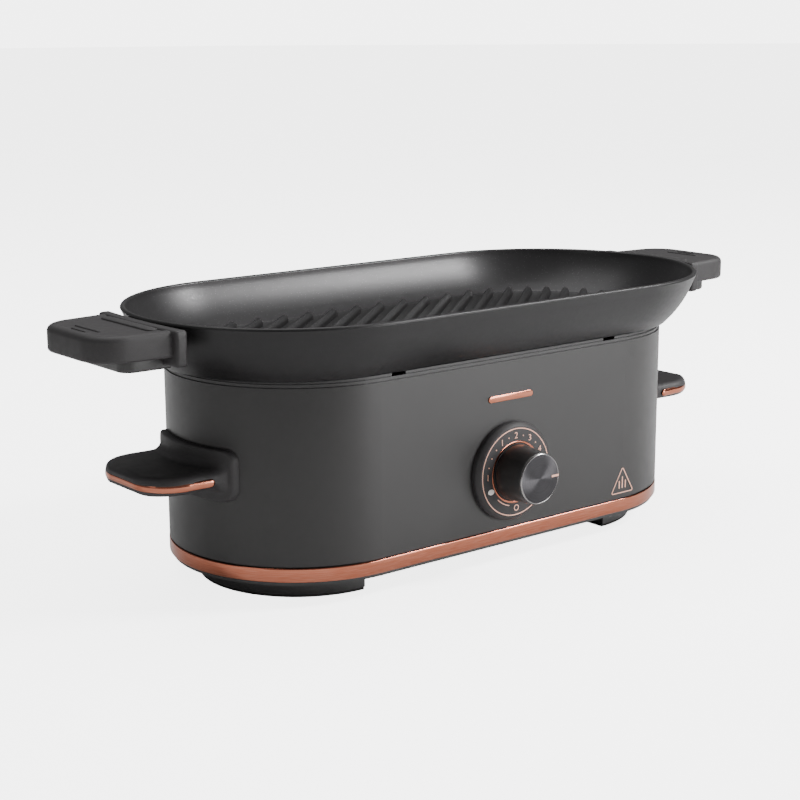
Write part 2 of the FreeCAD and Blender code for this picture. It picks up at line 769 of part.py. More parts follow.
def swept(body, kind, radius):
    """A round tube, or the groove that it lies in, along the element's loop."""
    path = new_sketch(body, "XY_Plane", "ElementHeight")
    element_path(path)
    section = new_sketch(body, "YZ_Plane", "-TerminalAt")
    add_circle(section, "-ElementBend", "ElementHeight", radius)
    item = body.newObject(f"PartDesign::{kind}", f"{body.Label}_pipe")
    item.Profile = section
    item.Spine = path
    path.Visibility = False
    section.Visibility = False
    body.Tip = item


plate = new_body("heating_plate")
pad_up(plate, "PlateBottom", "PlateThickness", ring("PlateRadius", None))
doc.recompute()
swept(plate, "SubtractivePipe", "ElementRadius + FitGap")
cut_up(plate, "PlateBottom", "0.6*PlateThickness", circles(*[(x, y, "ScrewRadius + ScrewGap") for x, y in STANDOFFS]))
place(plate)

element = new_body("heating_element")
swept(element, "AdditivePipe", "ElementRadius")
place(element)

group("element_terminals", [
    rod("TerminalRadius", "TerminalLength", f"{x}TerminalAt {x or '+'}ElementRadius", "-ElementBend",
        "ElementHeight - ElementRadius - 0.05", "-Z") for x in ("", "-")])

tray = new_body("heat_reflector")
pad_up(tray, "LedgeTop", "TrayWall", ring("HousingInner - FitGap", "TrayRadius"))
pad_up(tray, "TrayBottom", "SpigotBottom - TrayBottom", ring("TrayRadius + 0.5*TrayWall", "TrayRadius - TrayWall"))
pad_up(tray, "TrayBottom", "TrayWall", ring("TrayRadius", None))
cut_up(tray, "TrayBottom", "TrayWall", circles(
    ("TerminalAt + ElementRadius", "-ElementBend", "TrayHole"),
    ("-TerminalAt - ElementRadius", "-ElementBend", "TrayHole"),
    ("-CapillaryAt", "0", "0.5*TrayHole"),
    *[(x, y, "ScrewRadius + ScrewGap") for x, y in STANDOFFS]))
place(tray)

group("plate_standoffs", [
    cut(rod("StandoffRadius", "PlateBottom - TrayFloorTop", x, y, "TrayFloorTop"),
        rod("ScrewRadius + ScrewGap", "PlateBottom - TrayFloorTop", x, y, "TrayFloorTop")) for x, y in STANDOFFS])
group("plate_screws", [
    screw(x, y, "TrayBottom", "+Z", "PlateBottom - TrayBottom + 0.5*PlateThickness") for x, y in STANDOFFS])

group("sensor_bulb", [rod("BulbRadius", "BulbLength", "-0.5*BulbLength", "0", "BulbHeight", "+X")])


def clip(x, inner):
    """A sheet saddle over a rod on the long centre line, held flat against the heating plate."""
    flange = block("ClipWidth", "4*ClipWidth", "ClipThickness", f"{x} - 0.5*ClipWidth", "-2*ClipWidth",
                   "PlateBottom - ClipThickness - 0.02")
    saddle = block("ClipWidth", f"2*{inner} + 2*ClipThickness + 2*ScrewGap", f"2*{inner} + ClipThickness + ScrewGap",
                   f"{x} - 0.5*ClipWidth", f"-{inner} - ClipThickness - ScrewGap",
                   f"PlateBottom - 2*{inner} - ClipThickness - ScrewGap - 0.02")
    hollow = block("ClipWidth", f"2*{inner} + 2*ScrewGap", f"2*{inner} + 2*ScrewGap + ClipThickness",
                   f"{x} - 0.5*ClipWidth", f"-{inner} - ScrewGap", f"PlateBottom - 2*{inner} - ScrewGap")
    return cut(fuse(flange, saddle), hollow)


group("sensor_clips", [clip(x, "BulbRadius") for x in ("0.3*BulbLength", "-0.3*BulbLength")])
group("thermal_fuse", [
    fuse(rod("FuseRadius", "FuseLength", "FuseAt", "0", "FuseHeight", "+X"),
         rod("0.3*FuseRadius", "2*FuseLength", "FuseAt - 0.5*FuseLength", "0", "FuseHeight", "+X"))])
group("fuse_clip", [clip("FuseAt + 0.5*FuseLength", "FuseRadius")])

# ---------------------------------------------------------------- thermostat, lamp and inlet
thermostat = cut(
    block("ThermostatWidth", "ThermostatDepth", "ThermostatHeight",
          "-0.5*ThermostatWidth", "-BracketBack", "DialHeight - 0.5*ThermostatHeight"),
    rod("SpindleRadius + SpindleGap", "SpindleReach", "0", "-BracketBack", "DialHeight", "+Y"))
group("thermostat_body", [thermostat])
bracket = new_body("thermostat_bracket")
sketch = new_sketch(bracket, "XZ_Plane", "BracketBack")
outline(box_corners("-0.5*BracketWidth", "DialHeight - 0.5*BracketHeight",
                    "0.5*BracketWidth", "DialHeight + 0.5*BracketHeight"))(sketch)
circles(("0", "DialHeight", "SpindleHole"), ("BracketScrewAt", "DialHeight", "ScrewRadius + ScrewGap"),
        ("-BracketScrewAt", "DialHeight", "ScrewRadius + ScrewGap"))(sketch)
feature(bracket, "Pad", sketch, "BracketThickness - 0.02")
place(bracket)
group("thermostat_screws", [
    screw(x, "-HousingRadius", "DialHeight", "+Y", "HousingWall + BracketThickness - 0.1")
    for x in ("BracketScrewAt", "-BracketScrewAt")])
single("thermostat_spindle", place(
    rod("SpindleRadius", "KnobFront - BracketBack + SpindleReach - 5", "0", "-KnobFront + 4", "DialHeight", "+Y"),
    "0", "-KnobFront + 4", "DialHeight", ALONG["+Y"]))
single("indicator_lens", place(
    rod("LensRadius", "DialThickness + HousingWall", "LensAcross", "-DialFace - 0.3", "LensUp", "+Y"),
    "LensAcross", "-DialFace - 0.3", "LensUp", ALONG["+Y"]))
single("indicator_lamp", place(
    rod("LampRadius", "LampLength", "LensAcross", "-HousingInner + 0.4", "LensUp", "+Y"),
    "LensAcross", "-HousingInner + 0.4", "LensUp", ALONG["+Y"]))

inlet = new_body("inlet_body")
for foot, depth, width, tall in (
        ("-HousingRadius - InletFlange", "InletFlange", "InletFlangeWidth", "InletFlangeTall"),
        ("-HousingRadius", "InletDepth", "InletWidth", "InletTall")):
    sketch = new_sketch(inlet, "XZ_Plane", foot)
    outline(box_corners(f"InletAt - 0.5*{width}", f"InletHeight - 0.5*{tall}",
                        f"InletAt + 0.5*{width}", f"InletHeight + 0.5*{tall}"))(sketch)
    feature(inlet, "Pad", sketch, depth)
cut_across(inlet, "XZ_Plane", "SocketDepth", outline(box_corners(
    "InletAt - 0.5*SocketWidth", "InletHeight - 0.5*SocketTall",
    "InletAt + 0.5*SocketWidth", "InletHeight + 0.5*SocketTall")), True, "-HousingRadius - InletFlange")
PINS = [("InletAt - PinSpacing", "InletHeight - 3"), ("InletAt", "InletHeight + 1"),
        ("InletAt + PinSpacing", "InletHeight - 3")]
cut_across(inlet, "XZ_Plane", "2*InletDepth", outline(*[
    box_corners(f"{x} - 0.5*PinWidth - 0.05", f"{z} - 0.05", f"{x} + 0.5*PinWidth + 0.05", f"{z} + PinTall + 0.05")
    for x, z in PINS]), True, "-HousingRadius - InletFlange")
cut_across(inlet, "XZ_Plane", "InletFlange", circles(
    ("InletAt + InletScrewAt", "InletHeight", "ScrewRadius + ScrewGap"),
    ("InletAt - InletScrewAt", "InletHeight", "ScrewRadius + ScrewGap")), True, "-HousingRadius - InletFlange")
place(inlet)
group("inlet_pins", [
    block("PinWidth", "InletDepth + 4", "PinTall", f"{x} - 0.5*PinWidth", "InletBack - 6", z) for x, z in PINS])
group("inlet_screws", [
    screw(x, "HousingRadius + InletFlange", "InletHeight", "-Y", "InletFlange + HousingWall + 2")
    for x in ("InletAt + InletScrewAt", "InletAt - InletScrewAt")])

# ---------------------------------------------------------------- leads, held inside the base
LEADS = {
    "live_lead": [("InletAt - PinSpacing", "InletBack - 6.1", "InletHeight - 1"),
                  ("InletAt - PinSpacing", "0.5*InletBack", "InletHeight - 1"),
                  ("12", "0", "0.5*InletHeight + 8"), ("8", "-0.35*HousingRadius", "DialHeight - 8"),
                  ("8", "-ThermostatBack + 0.1", "DialHeight - 8")],
    "neutral_lead": [("InletAt + PinSpacing", "InletBack - 6.1", "InletHeight - 1"),
                     ("InletAt + PinSpacing", "0.4*InletBack", "InletHeight - 1"),
                     ("InletAt", "-20", "DialHeight"), ("TerminalAt + ElementRadius", "-ElementBend", "DialHeight + 15"),
                     ("TerminalAt + ElementRadius", "-ElementBend", "TerminalFoot - 0.1")],
    "heater_lead": [("-8", "-ThermostatBack + 0.1", "DialHeight + 8"), ("-8", "-0.35*HousingRadius", "DialHeight + 8"),
                    ("-TerminalAt - ElementRadius", "-ElementBend", "DialHeight + 16"),
                    ("-TerminalAt - ElementRadius", "-ElementBend", "TerminalFoot - 0.1")],
    "earth_lead": [("InletAt", "InletBack - 6.1", "InletHeight + 3"), ("InletAt", "0.55*InletBack", "InletHeight + 3"),
                   ("FuseAt + 10", "25", "TrayBottom - 30"), ("FuseAt + 10", "25", "TrayBottom - 0.1")],
    "lamp_lead": [("LensAcross", "-HousingInner + LampLength + 0.5", "LensUp"),
                  ("LensAcross", "-0.4*HousingRadius", "LensUp"), ("-5", "-0.3*HousingRadius", "LensUp"),
                  ("-5", "-ThermostatBack + 0.1", "LensUp")],
}
doc.recompute()
for name, route in LEADS.items():
    feature_of(name, tube(name, "LeadRadius", route))
feature_of("capillary", tube("capillary", "CapillaryRadius", [
    ("0", "-ThermostatBack + 0.1", "DialHeight"), ("0", "-0.2*HousingRadius", "DialHeight"),
    ("-CapillaryAt", "-10", "DialHeight + 12"), ("-CapillaryAt", "0", "TrayBottom - 10"),
    ("-CapillaryAt", "0", "BulbHeight"), ("-0.5*BulbLength - 0.1", "0", "BulbHeight")]))

# ================================================================ dial, knob, badge and pictogram
dial = new_body("dial_plate")


def dial_profile(sketch):
    """Half section across the dial: how far forward of the housing wall, how far from the axis."""
    add_outline(sketch, [
        ("-DialFace", "DialHole"), ("-HousingRadius - DialRecessDepth", "DialHole"),
        ("-HousingRadius - DialRecessDepth", "DialRecessRadius"), ("-HousingRadius", "DialRecessRadius"),
        ("-HousingRadius", "DialRadius"), ("-DialFace + DialBevel", "DialRadius"),
        ("-DialFace", "DialRadius - DialBevel")])


turned(dial, dial_profile)
cut_across(dial, "XZ_Plane", "2*DialFace", circles(("LensAcross", "LensUp - DialHeight", "LensRadius + LensGap")), True)
place(dial, z="DialHeight")

for name, outer, width in (("dial_outer_ring", "OuterRingRadius", "OuterRingWidth"),
                           ("dial_inner_ring", "InnerRingRadius", "InnerRingWidth")):
    dial_ring = new_body(name)
    sketch = new_sketch(dial_ring, "XZ_Plane", "DialFace")
    circles(("0", "0", outer), ("0", "0", f"{outer} - {width}"))(sketch)
    feature(dial_ring, "Pad", sketch, "RingProud")
    place(dial_ring, z="DialHeight")

knob = new_body("knob_body")


def knob_profile(sketch):
    """Half section of the knob: a cup that opens towards the dial, with a hub on the spindle."""
    add_outline(sketch, [
        ("-KnobBack", "KnobBaseRadius"), ("-KnobFront", "KnobFaceRadius"), ("-KnobFront", "0"),
        ("-KnobFront + 3.9", "0"), ("-KnobFront + 3.9", "SpindleRadius + 0.4*SpindleGap"),
        ("-KnobBack - 1", "SpindleRadius + 0.4*SpindleGap"), ("-KnobBack - 1", "KnobHub"),
        ("-KnobFront + 3.9", "KnobHub"), ("-KnobFront + 3.9", "KnobFaceRadius - KnobWall"),
        ("-KnobBack", "KnobBaseRadius - KnobWall")])


turned(knob, knob_profile)
place(knob, z="DialHeight")

cap = new_body("knob_cap")
sketch = new_sketch(cap, "XZ_Plane", "KnobFront")
circles(("0", "0", "KnobFaceRadius - CapInset"))(sketch)
feature(cap, "Pad", sketch, "CapThickness")
cut_across(cap, "XZ_Plane", "PointerDepth", outline(box_corners(
    "KnobFaceRadius - PointerLength", "-0.5*PointerWidth", "KnobFaceRadius", "0.5*PointerWidth")),
    False, "KnobFront + CapThickness")
place(cap, z="DialHeight")
single("knob_pointer", place(
    block("PointerLength - CapInset - 0.3", "PointerDepth", "PointerWidth - 0.04",
          "KnobFaceRadius - PointerLength + 0.02", "-KnobFront - CapThickness", "DialHeight - 0.5*PointerWidth + 0.02"),
    "KnobFaceRadius - PointerLength + 0.02", "-KnobFront - CapThickness", "DialHeight - 0.5*PointerWidth + 0.02"))

badge = new_body("badge")
sketch = new_sketch(badge, "XZ_Plane", "HousingRadius")
add_stadium(sketch, "0.5*BadgeHeight", "BadgeSpan")
feature(badge, "Pad", sketch, "BadgeThickness")
place(badge, z="BadgeAt")

pictogram = new_body("heat_pictogram")
sketch = new_sketch(pictogram, "XZ_Plane", "HousingRadius")
for inset in (None, "PictogramLine"):
    side = "0.5*PictogramWidth" if inset is None else "0.5*PictogramWidth - 1.75*PictogramLine"
    foot = "0" if inset is None else "PictogramLine"
    apex = "PictogramHeight" if inset is None else "PictogramHeight - 2*PictogramLine"
    add_outline(sketch, [(f"-{side}" if inset is None else "-0.5*PictogramWidth + 1.75*PictogramLine", foot),
                         (side, foot), ("0", apex)])
feature(pictogram, "Pad", sketch, "PictogramThickness")
place(pictogram, x="PictogramAt", z="PictogramFoot")


# ================================================================ carry handles
def shelf(reach, corner, corner_at, root_at, root_half, root_corner, span, grow=""):
    """Circles of a grip's plan, walked anticlockwise, each grown or shrunk by a sheet size."""
    tip = f"-{span} - {reach} + {corner}"
    root = f"-{span} - {root_at}"
    return [(root, f"-{root_half} + {root_corner}", f"{root_corner}{grow}"),
            (root, f"{root_half} - {root_corner}", f"{root_corner}{grow}"),
            (tip, corner_at, f"{corner}{grow}"),
            (tip, f"-{corner_at}", f"{corner}{grow}")]


def carry_plan(grow=""):
    circles_of_plan = shelf("CarryReach", "CarryCorner", "CarryCornerAt", "CarryRootAt", "CarryRootHalf",
                            "CarryRootCorner", "HousingSpan", grow)
    return lambda sketch: add_hull(sketch, circles_of_plan)


def outside_circle(span, radius, half):
    """Everything left of an end centre that lies outside a circle about it."""
    def draw(sketch):
        add_outline(sketch, box_corners(f"-{span} - 2*{radius}", f"-2*{half}", f"-{span} + 1.2*{radius}", f"2*{half}"))
        add_circle(sketch, f"-{span}", "0", radius)
    return draw


def horizontal_at(height, beyond):
    """Picks the level edges at one height that lie further out than a given x."""
    return lambda edge: (abs(edge.BoundBox.ZMin - number(height)) < 0.01
                         and abs(edge.BoundBox.ZMax - number(height)) < 0.01
                         and edge.BoundBox.XMax < -number(beyond))


for name, turn in (("carry_handle_left", None), ("carry_handle_right", HALF_TURN)):
    handle = new_body(name)
    pad_up(handle, "CarryPlateFoot", "CarryPlateHeight", outline(box_corners(
        "-HousingSpan - 1.2*HousingRadius", "-CarryPlateHalf", "-HousingSpan - 0.5*HousingRadius", "CarryPlateHalf")))
    cut_up(handle, "CarryPlateFoot", "CarryPlateHeight",
           outside_circle("HousingSpan", "CarryPlateRadius", "CarryPlateHalf"))
    pad_up(handle, "CarryGripFoot", "StripFoot - CarryGripFoot", carry_plan())
    pad_up(handle, "StripFoot", "StripHeight", carry_plan(" - StripThickness + StripProud - FitGap"))
    pad_up(handle, "StripFoot + StripHeight", "CarryGripFoot + CarryGripHeight - StripFoot - StripHeight", carry_plan())
    rounded(handle, "CarryRound", horizontal_at("CarryGripFoot + CarryGripHeight", "HousingSpan + HousingRadius + 6"))
    cut_up(handle, "CarryPlateFoot", "CarryPlateHeight", circles(("-HousingSpan", "0", "HousingRadius + FitGap")))
    cut_across(handle, "YZ_Plane", "HousingSpan + HousingRadius + CarryScrewLength - 4", circles(
        ("CarryScrewAt", "CarryScrewHeight", "ScrewRadius + ScrewGap"),
        ("-CarryScrewAt", "CarryScrewHeight", "ScrewRadius + ScrewGap")), False)
    place(handle, rotation=turn)

for name, turn in (("carry_handle_trim_left", None), ("carry_handle_trim_right", HALF_TURN)):
    strip = new_body(name)

    def band(sketch):
        carry_plan(" + StripProud")(sketch)
        carry_plan(" - StripThickness + StripProud")(sketch)

    pad_up(strip, "StripFoot + 0.5*FitGap", "StripHeight - FitGap", band)
    cut_up(strip, "StripFoot", "StripHeight", outline(box_corners(
        "-HousingSpan - StripRootSetback", "-2*CarryRootHalf", "0", "2*CarryRootHalf")))
    place(strip, rotation=turn)

group("carry_handle_screws", [
    screw(f"{x}HousingSpan {x or '+'}HousingInner - 2.2" if not x else "-HousingSpan - HousingInner + 2.2",
          y, "CarryScrewHeight", "-X" if x else "+X", "CarryScrewLength - 4")
    for x in ("", "-") for y in ("CarryScrewAt", "-CarryScrewAt")])

# ================================================================ grill pan
def bowl_half(sketch):
    """Half section of the bowl: flat foot, bulged wall, upright lip, floor."""
    add_outline(sketch, [
        ("0", "PanBottom"), ("PanFoot", "PanBottom", "PanBulge"), ("PanLipRadius", "PanLipFoot"),
        ("PanRadius", "PanTop"), ("PanRadius - PanWall", "PanTop"),
        ("PanLipRadius - PanWall", "PanLipFoot", "-PanBulge"), ("PanWaist", "FloorTop"), ("0", "FloorTop")])


def mirrored(body, item, role):
    """Repeat one feature on the other side of an origin plane."""
    doc.recompute()
    copy = body.newObject("PartDesign::Mirrored", f"{body.Label}_mirrored")
    plane = [entry for entry in body.Origin.OriginFeatures if entry.Role == role][0]
    copy.Originals = [item]
    copy.MirrorPlane = (plane, [""])
    body.Tip = copy
    doc.recompute()


bowl = new_body("bowl")
finished.remove(bowl)
sketch = new_sketch(bowl, "YZ_Plane")
bowl_half(sketch)
straight = feature(bowl, "Pad", sketch, "2*PanSpan")
straight.Midplane = True
mirrored(bowl, straight, "XZ_Plane")
end = new_sketch(bowl, "XZ_Plane", across="PanSpan")
bowl_half(end)
turn_end = bowl.newObject("PartDesign::Revolution", "bowl_end")
turn_end.Profile = end
turn_end.ReferenceAxis = (end, ["V_Axis"])
turn_end.Angle = 180
turn_end.Midplane = True
bowl.Tip = turn_end
mirrored(bowl, turn_end, "YZ_Plane")
pad_up(bowl, "PanBottom - PanCentringDepth", "PanCentringDepth",
       ring("PlateRadius + PanCentringGap + PanCentringWidth", "PlateRadius + PanCentringGap"))
for side in ("", "-"):
    pad_up(bowl, "GripFoot + 0.1", "LugThickness - 0.1", outline(box_corners(
        f"{side}PanSpan {side or '+'}LugRoot", "-LugHalf", f"{side}PanSpan {side or '+'}LugReach", "LugHalf")))
cut_up(bowl, "GripFoot + 0.1", "LugThickness - 0.1", circles(*[
    (f"{x}PanSpan {x or '+'}GripScrewAt", y, "ScrewRadius + ScrewGap")
    for x in ("", "-") for y in ("GripScrewAcross", "-GripScrewAcross")]))
doc.recompute()

# Parallel bars across the floor on the slant, trimmed to the floor's own outline.
bars = []
bar_count = int(2 * number("PanSpan + PanRadius") / number("GrillRibPitch")) | 1
slant = Rotation(Vector(0, 0, 1), 90 - number("GrillRibAngle"))
for index in range(bar_count):
    bar = doc.addObject("Part::Box", "bar")
    bind(bar, "Length", "4*PanRadius")
    bind(bar, "Width", "GrillRibWidth")
    bind(bar, "Height", "GrillRibHeight + 0.5*PanFloor")
    step = (index - bar_count // 2) * number("GrillRibPitch") - number("GrillRibWidth") / 2
    bar.Placement = Placement(
        slant.multVec(Vector(-2 * number("PanRadius"), step, 0)) + Vector(0, 0, number("FloorTop - 0.5*PanFloor")), slant)
    bars.append(bar)
bar_field = doc.addObject("Part::Compound", "bar_field")
bar_field.Links = bars
trim_prism = new_body("rib_field")
finished.remove(trim_prism)
pad_up(trim_prism, "PanBottom", "PanTop - PanBottom", ring("PanWaist - GrillRibClear", None, "PanSpan"))
doc.recompute()
ribs = doc.addObject("Part::Common", "ribs")
ribs.Base = bar_field
ribs.Tool = trim_prism
pan = doc.addObject("Part::Fuse", "grill_pan")
pan.Base = bowl
pan.Tool = ribs
single("grill_pan", place(pan))


# ================================================================ pan handles
def grip_plan(grow=""):
    rows = shelf("GripReach", "GripCorner", "GripCornerAt", "GripRootAt", "GripHalf", "GripRootCorner", "PanSpan", grow)
    return lambda sketch: add_hull(sketch, rows)


def hollow_for_bowl(body):
    """Take the bowl's bulged end out of a handle piece, with a clearance all round."""
    doc.recompute()
    end_cut = new_sketch(body, "XZ_Plane", across="-PanSpan")
    add_outline(end_cut, [
        ("0", "PanBottom - 2"), ("0", "PanTop + 2"), ("-PanRadius - BowlGap", "PanTop + 2"),
        ("-PanRadius - BowlGap", "PanTop"), ("-PanLipRadius - BowlGap", "PanLipFoot", "PanBulge"),
        ("-PanFoot - BowlGap", "PanBottom"), ("-PanFoot - BowlGap", "PanBottom - 2")])
    item = body.newObject("PartDesign::Groove", f"{body.Label}_groove")
    item.Profile = end_cut
    item.ReferenceAxis = (end_cut, ["V_Axis"])
    item.Angle = 360
    body.Tip = item
    doc.recompute()


SCREW_PLACES = [("-PanSpan - GripScrewAt", y) for y in ("GripScrewAcross", "-GripScrewAcross")]
for name, turn in (("pan_handle_left", None), ("pan_handle_right", HALF_TURN)):
    grip = new_body(name)
    pad_up(grip, "FlangeFoot", "FlangeHeight", outline(box_corners(
        "-PanSpan - 1.3*PanRadius", "-FlangeHalf", "-PanSpan - 0.6*PanRadius", "FlangeHalf")))
    cut_up(grip, "FlangeFoot", "FlangeHeight", outside_circle(
        "PanSpan", "PanRadius + FlangeThickness", "FlangeHalf"))
    pad_up(grip, "GripFoot", "GripHeight", grip_plan())
    rounded(grip, "GripRound", horizontal_at("GripTop", "PanSpan + PanRadius + 8"))
    hollow_for_bowl(grip)
    cut_up(grip, "GripFoot", "LugThickness + LugGap", outline(box_corners(
        "-PanSpan - LugReach - LugGap", "-LugHalf - LugGap", "-PanSpan", "LugHalf + LugGap")))
    cut_up(grip, "GripFoot + LugThickness", "GripHeight - LugThickness - 2", circles(*[
        (x, y, "ScrewRadius + ScrewGap") for x, y in SCREW_PLACES]))
    place(grip, rotation=turn)

for name, turn in (("pan_handle_lower_left", None), ("pan_handle_lower_right", HALF_TURN)):
    lower = new_body(name)
    rows = shelf("LowerReach", "LowerCorner", "LowerCornerAt", "GripRootAt", "LowerHalf", "GripRootCorner", "PanSpan")
    pad_up(lower, "LowerFoot", "GripFoot - LowerFoot - 0.05", lambda sketch: add_hull(sketch, rows))
    cut_up(lower, "LowerFoot", "GripFoot - LowerFoot", circles(
        ("-PanSpan", "0", "PanRadius + FlangeThickness + FitGap")))
    cut_up(lower, "LowerFoot", "GripFoot - LowerFoot", circles(*[
        (x, y, "ScrewRadius + ScrewGap") for x, y in SCREW_PLACES]))
    cut_up(lower, "LowerFoot", "ScrewHead + 1", circles(*[
        (x, y, "ScrewHeadRadius + ScrewGap") for x, y in SCREW_PLACES]))
    place(lower, rotation=turn)

group("pan_handle_screws", [
    screw(f"{x}PanSpan {x or '+'}GripScrewAt", y, "LowerFoot + ScrewHead + 1", "+Z",
          "GripFoot + GripHeight - LowerFoot - ScrewHead - 4")
    for x in ("", "-") for y in ("GripScrewAcross", "-GripScrewAcross")])

# ================================================================ checks and files
doc.recompute()
for item in doc.Objects:
    for fault in ("Invalid", "Error"):
        if fault in item.State:
            raise ValueError(f"{item.Label} is {fault}: {item.getStatusString()}")
os.makedirs("parts", exist_ok=True)
for item in finished:
    if item.Shape.isNull() or not item.Shape.isValid() or not item.Shape.Solids:
        raise ValueError(f"{item.Label} has no valid solid")
for item in finished:
    item.Shape.exportStep(f"parts/{item.Label}.step")
print(len(finished), "sub-parts written")
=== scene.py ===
# %% [markdown]
# An electric griddle, built round its CAD frame
#
# The object is a long table griddle: a painted stadium-shaped base with a polished band at its
# foot, a dial with a knob, two carry handles, and a ribbed cast pan that lifts off. The frame
# already holds every piece at its true size. Here each visible surface gets the shape and finish
# of the real one.

# %% Load the frame
import math

import bmesh
import bpy
from mathutils import Matrix, Vector


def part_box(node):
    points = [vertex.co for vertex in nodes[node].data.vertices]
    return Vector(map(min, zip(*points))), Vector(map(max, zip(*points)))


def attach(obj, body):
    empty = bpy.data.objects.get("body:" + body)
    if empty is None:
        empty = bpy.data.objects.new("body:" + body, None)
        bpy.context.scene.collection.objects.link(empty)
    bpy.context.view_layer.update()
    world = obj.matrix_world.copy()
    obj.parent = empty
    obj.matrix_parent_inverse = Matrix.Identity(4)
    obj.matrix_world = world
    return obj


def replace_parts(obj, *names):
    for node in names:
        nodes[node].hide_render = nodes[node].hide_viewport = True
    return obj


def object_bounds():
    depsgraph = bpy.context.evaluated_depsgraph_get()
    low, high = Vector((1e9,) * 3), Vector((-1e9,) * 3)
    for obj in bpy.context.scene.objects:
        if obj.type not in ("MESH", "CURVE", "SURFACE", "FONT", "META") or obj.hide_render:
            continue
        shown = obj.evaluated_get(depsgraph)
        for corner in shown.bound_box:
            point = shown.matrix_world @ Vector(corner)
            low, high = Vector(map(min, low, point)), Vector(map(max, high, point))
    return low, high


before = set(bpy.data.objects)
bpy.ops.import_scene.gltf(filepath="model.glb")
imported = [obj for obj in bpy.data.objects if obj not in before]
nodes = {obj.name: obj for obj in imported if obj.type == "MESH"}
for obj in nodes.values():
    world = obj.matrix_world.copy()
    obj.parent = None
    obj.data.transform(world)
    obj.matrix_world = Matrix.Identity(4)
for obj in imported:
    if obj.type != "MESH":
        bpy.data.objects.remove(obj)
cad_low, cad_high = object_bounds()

MM = 0.001
print("the object is", [round(size / MM) for size in cad_high - cad_low], "mm")

# %% [markdown]
# The camera stands where a person would who looks down a little on the front left corner. It is a
# long lens, so upright edges stay nearly parallel. Its place is worked out from an aiming point
# near the middle of the object, a turn round the object and a tilt.

# %% Camera
def place_object(name, data):
    """An object for this data, in the scene."""
    made = bpy.data.objects.new(name, data)
    bpy.context.scene.collection.objects.link(made)
    return made


turn = math.radians(38.87)
tilt = math.radians(12.56)
roll = -0.0040
distance = 1.0835
aim_shift = Vector((-6.5, 21.4, 4.4)) * MM
aim = Vector((cad_low.x + cad_high.x, cad_low.y + cad_high.y, cad_low.z + cad_high.z)) / 2
aim += aim_shift
forward = Vector((math.sin(turn) * math.cos(tilt), math.cos(turn) * math.cos(tilt),
                  -math.sin(tilt)))
right = Vector((math.cos(turn), -math.sin(turn), 0))
up = right.cross(forward)
right, up = (right * math.cos(roll) + up * math.sin(roll),
             up * math.cos(roll) - right * math.sin(roll))
stand = aim - forward * distance
camera = place_object("camera", bpy.data.cameras.new("camera"))
camera.matrix_world = Matrix((
    (right.x, up.x, -forward.x, stand.x),
    (right.y, up.y, -forward.y, stand.y),
    (right.z, up.z, -forward.z, stand.z),
    (0, 0, 0, 1)))
camera.data.lens = 75.45
camera.data.sensor_width = 36
camera.data.clip_start = 0.05
camera.data.clip_end = 30
bpy.context.scene.camera = camera
print("camera at", [round(v, 3) for v in camera.matrix_world.translation])

# %% [markdown]
# The stage is a pale floor and a pale surrounding light, as in a studio with paper sweeps, with
# four soft lamps: a large one over the object, a low one on the right that grades the long front,
# a small strong one above it that makes the bright patches inside the pan, and a dim one on the
# left. Floor and surroundings look nearly white, yet must not wash out dark plastic, so a Light
# Path node makes them brighter for the camera alone than they are as a source of light.

# %% Helpers for materials
def linear(hex_colour):
    """An sRGB hex colour as the linear numbers that shaders want."""
    channels = [int(hex_colour[i:i + 2], 16) / 255 for i in (1, 3, 5)]
    return [*[c / 12.92 if c <= 0.04045 else ((c + 0.055) / 1.055) ** 2.4 for c in channels], 1.0]


def add(tree, kind, settings=None, **links):
    """One node: its properties and unlinked inputs from settings, its linked inputs by name."""
    node = tree.nodes.new(kind)
    for key, value in (settings or {}).items():
        if isinstance(key, int) or key in node.inputs:
            node.inputs[key].default_value = value
        else:
            setattr(node, key, value)
    for name, socket in links.items():
        key = int(name[1:]) if name[1:].isdigit() else name.replace("_", " ")
        tree.links.new(socket, node.inputs[key])
    return node


def material(name, shine):
    """A Principled material and its parts: (material, tree, shader, object coordinates)."""
    made = bpy.data.materials.new(name)
    made.use_nodes = True
    tree = made.node_tree
    shader = tree.nodes["Principled BSDF"]
    for key, value in shine.items():
        shader.inputs[key].default_value = value
    place = tree.nodes.new("ShaderNodeTexCoord").outputs["Object"]
    return made, tree, shader, place


def grain(tree, place, size, detail=3.0):
    """Noise whose lumps are about this size in metres."""
    return add(tree, "ShaderNodeTexNoise", {"Scale": 1 / size, "Detail": detail}, Vector=place)


def tint(tree, shader, field, low, high):
    """Colour that wanders between two hex colours with a pattern."""
    ramp = add(tree, "ShaderNodeValToRGB", None, Fac=field)
    for stop, position, colour in zip(ramp.color_ramp.elements, (0.3, 0.7), (low, high)):
        stop.position = position
        stop.color = linear(colour)
    tree.links.new(ramp.outputs["Color"], shader.inputs["Base Color"])


def vary(tree, shader, socket, field, low, high):
    """A shader value that wanders between two numbers with a pattern."""
    spread = add(tree, "ShaderNodeMapRange", {"To Min": low, "To Max": high}, Value=field)
    tree.links.new(spread.outputs["Result"], shader.inputs[socket])


def bump(tree, shader, field, depth, strength=1.0):
    """Relief of this depth in metres."""
    lift = add(tree, "ShaderNodeBump", {"Strength": strength, "Distance": depth}, Height=field)
    tree.links.new(lift.outputs["Normal"], shader.inputs["Normal"])


def dress(name, made):
    """Put one material on a CAD node's slots."""
    mesh = nodes[name].data
    if not mesh.materials:
        mesh.materials.append(made)
    for index in range(len(mesh.materials)):
        mesh.materials[index] = made


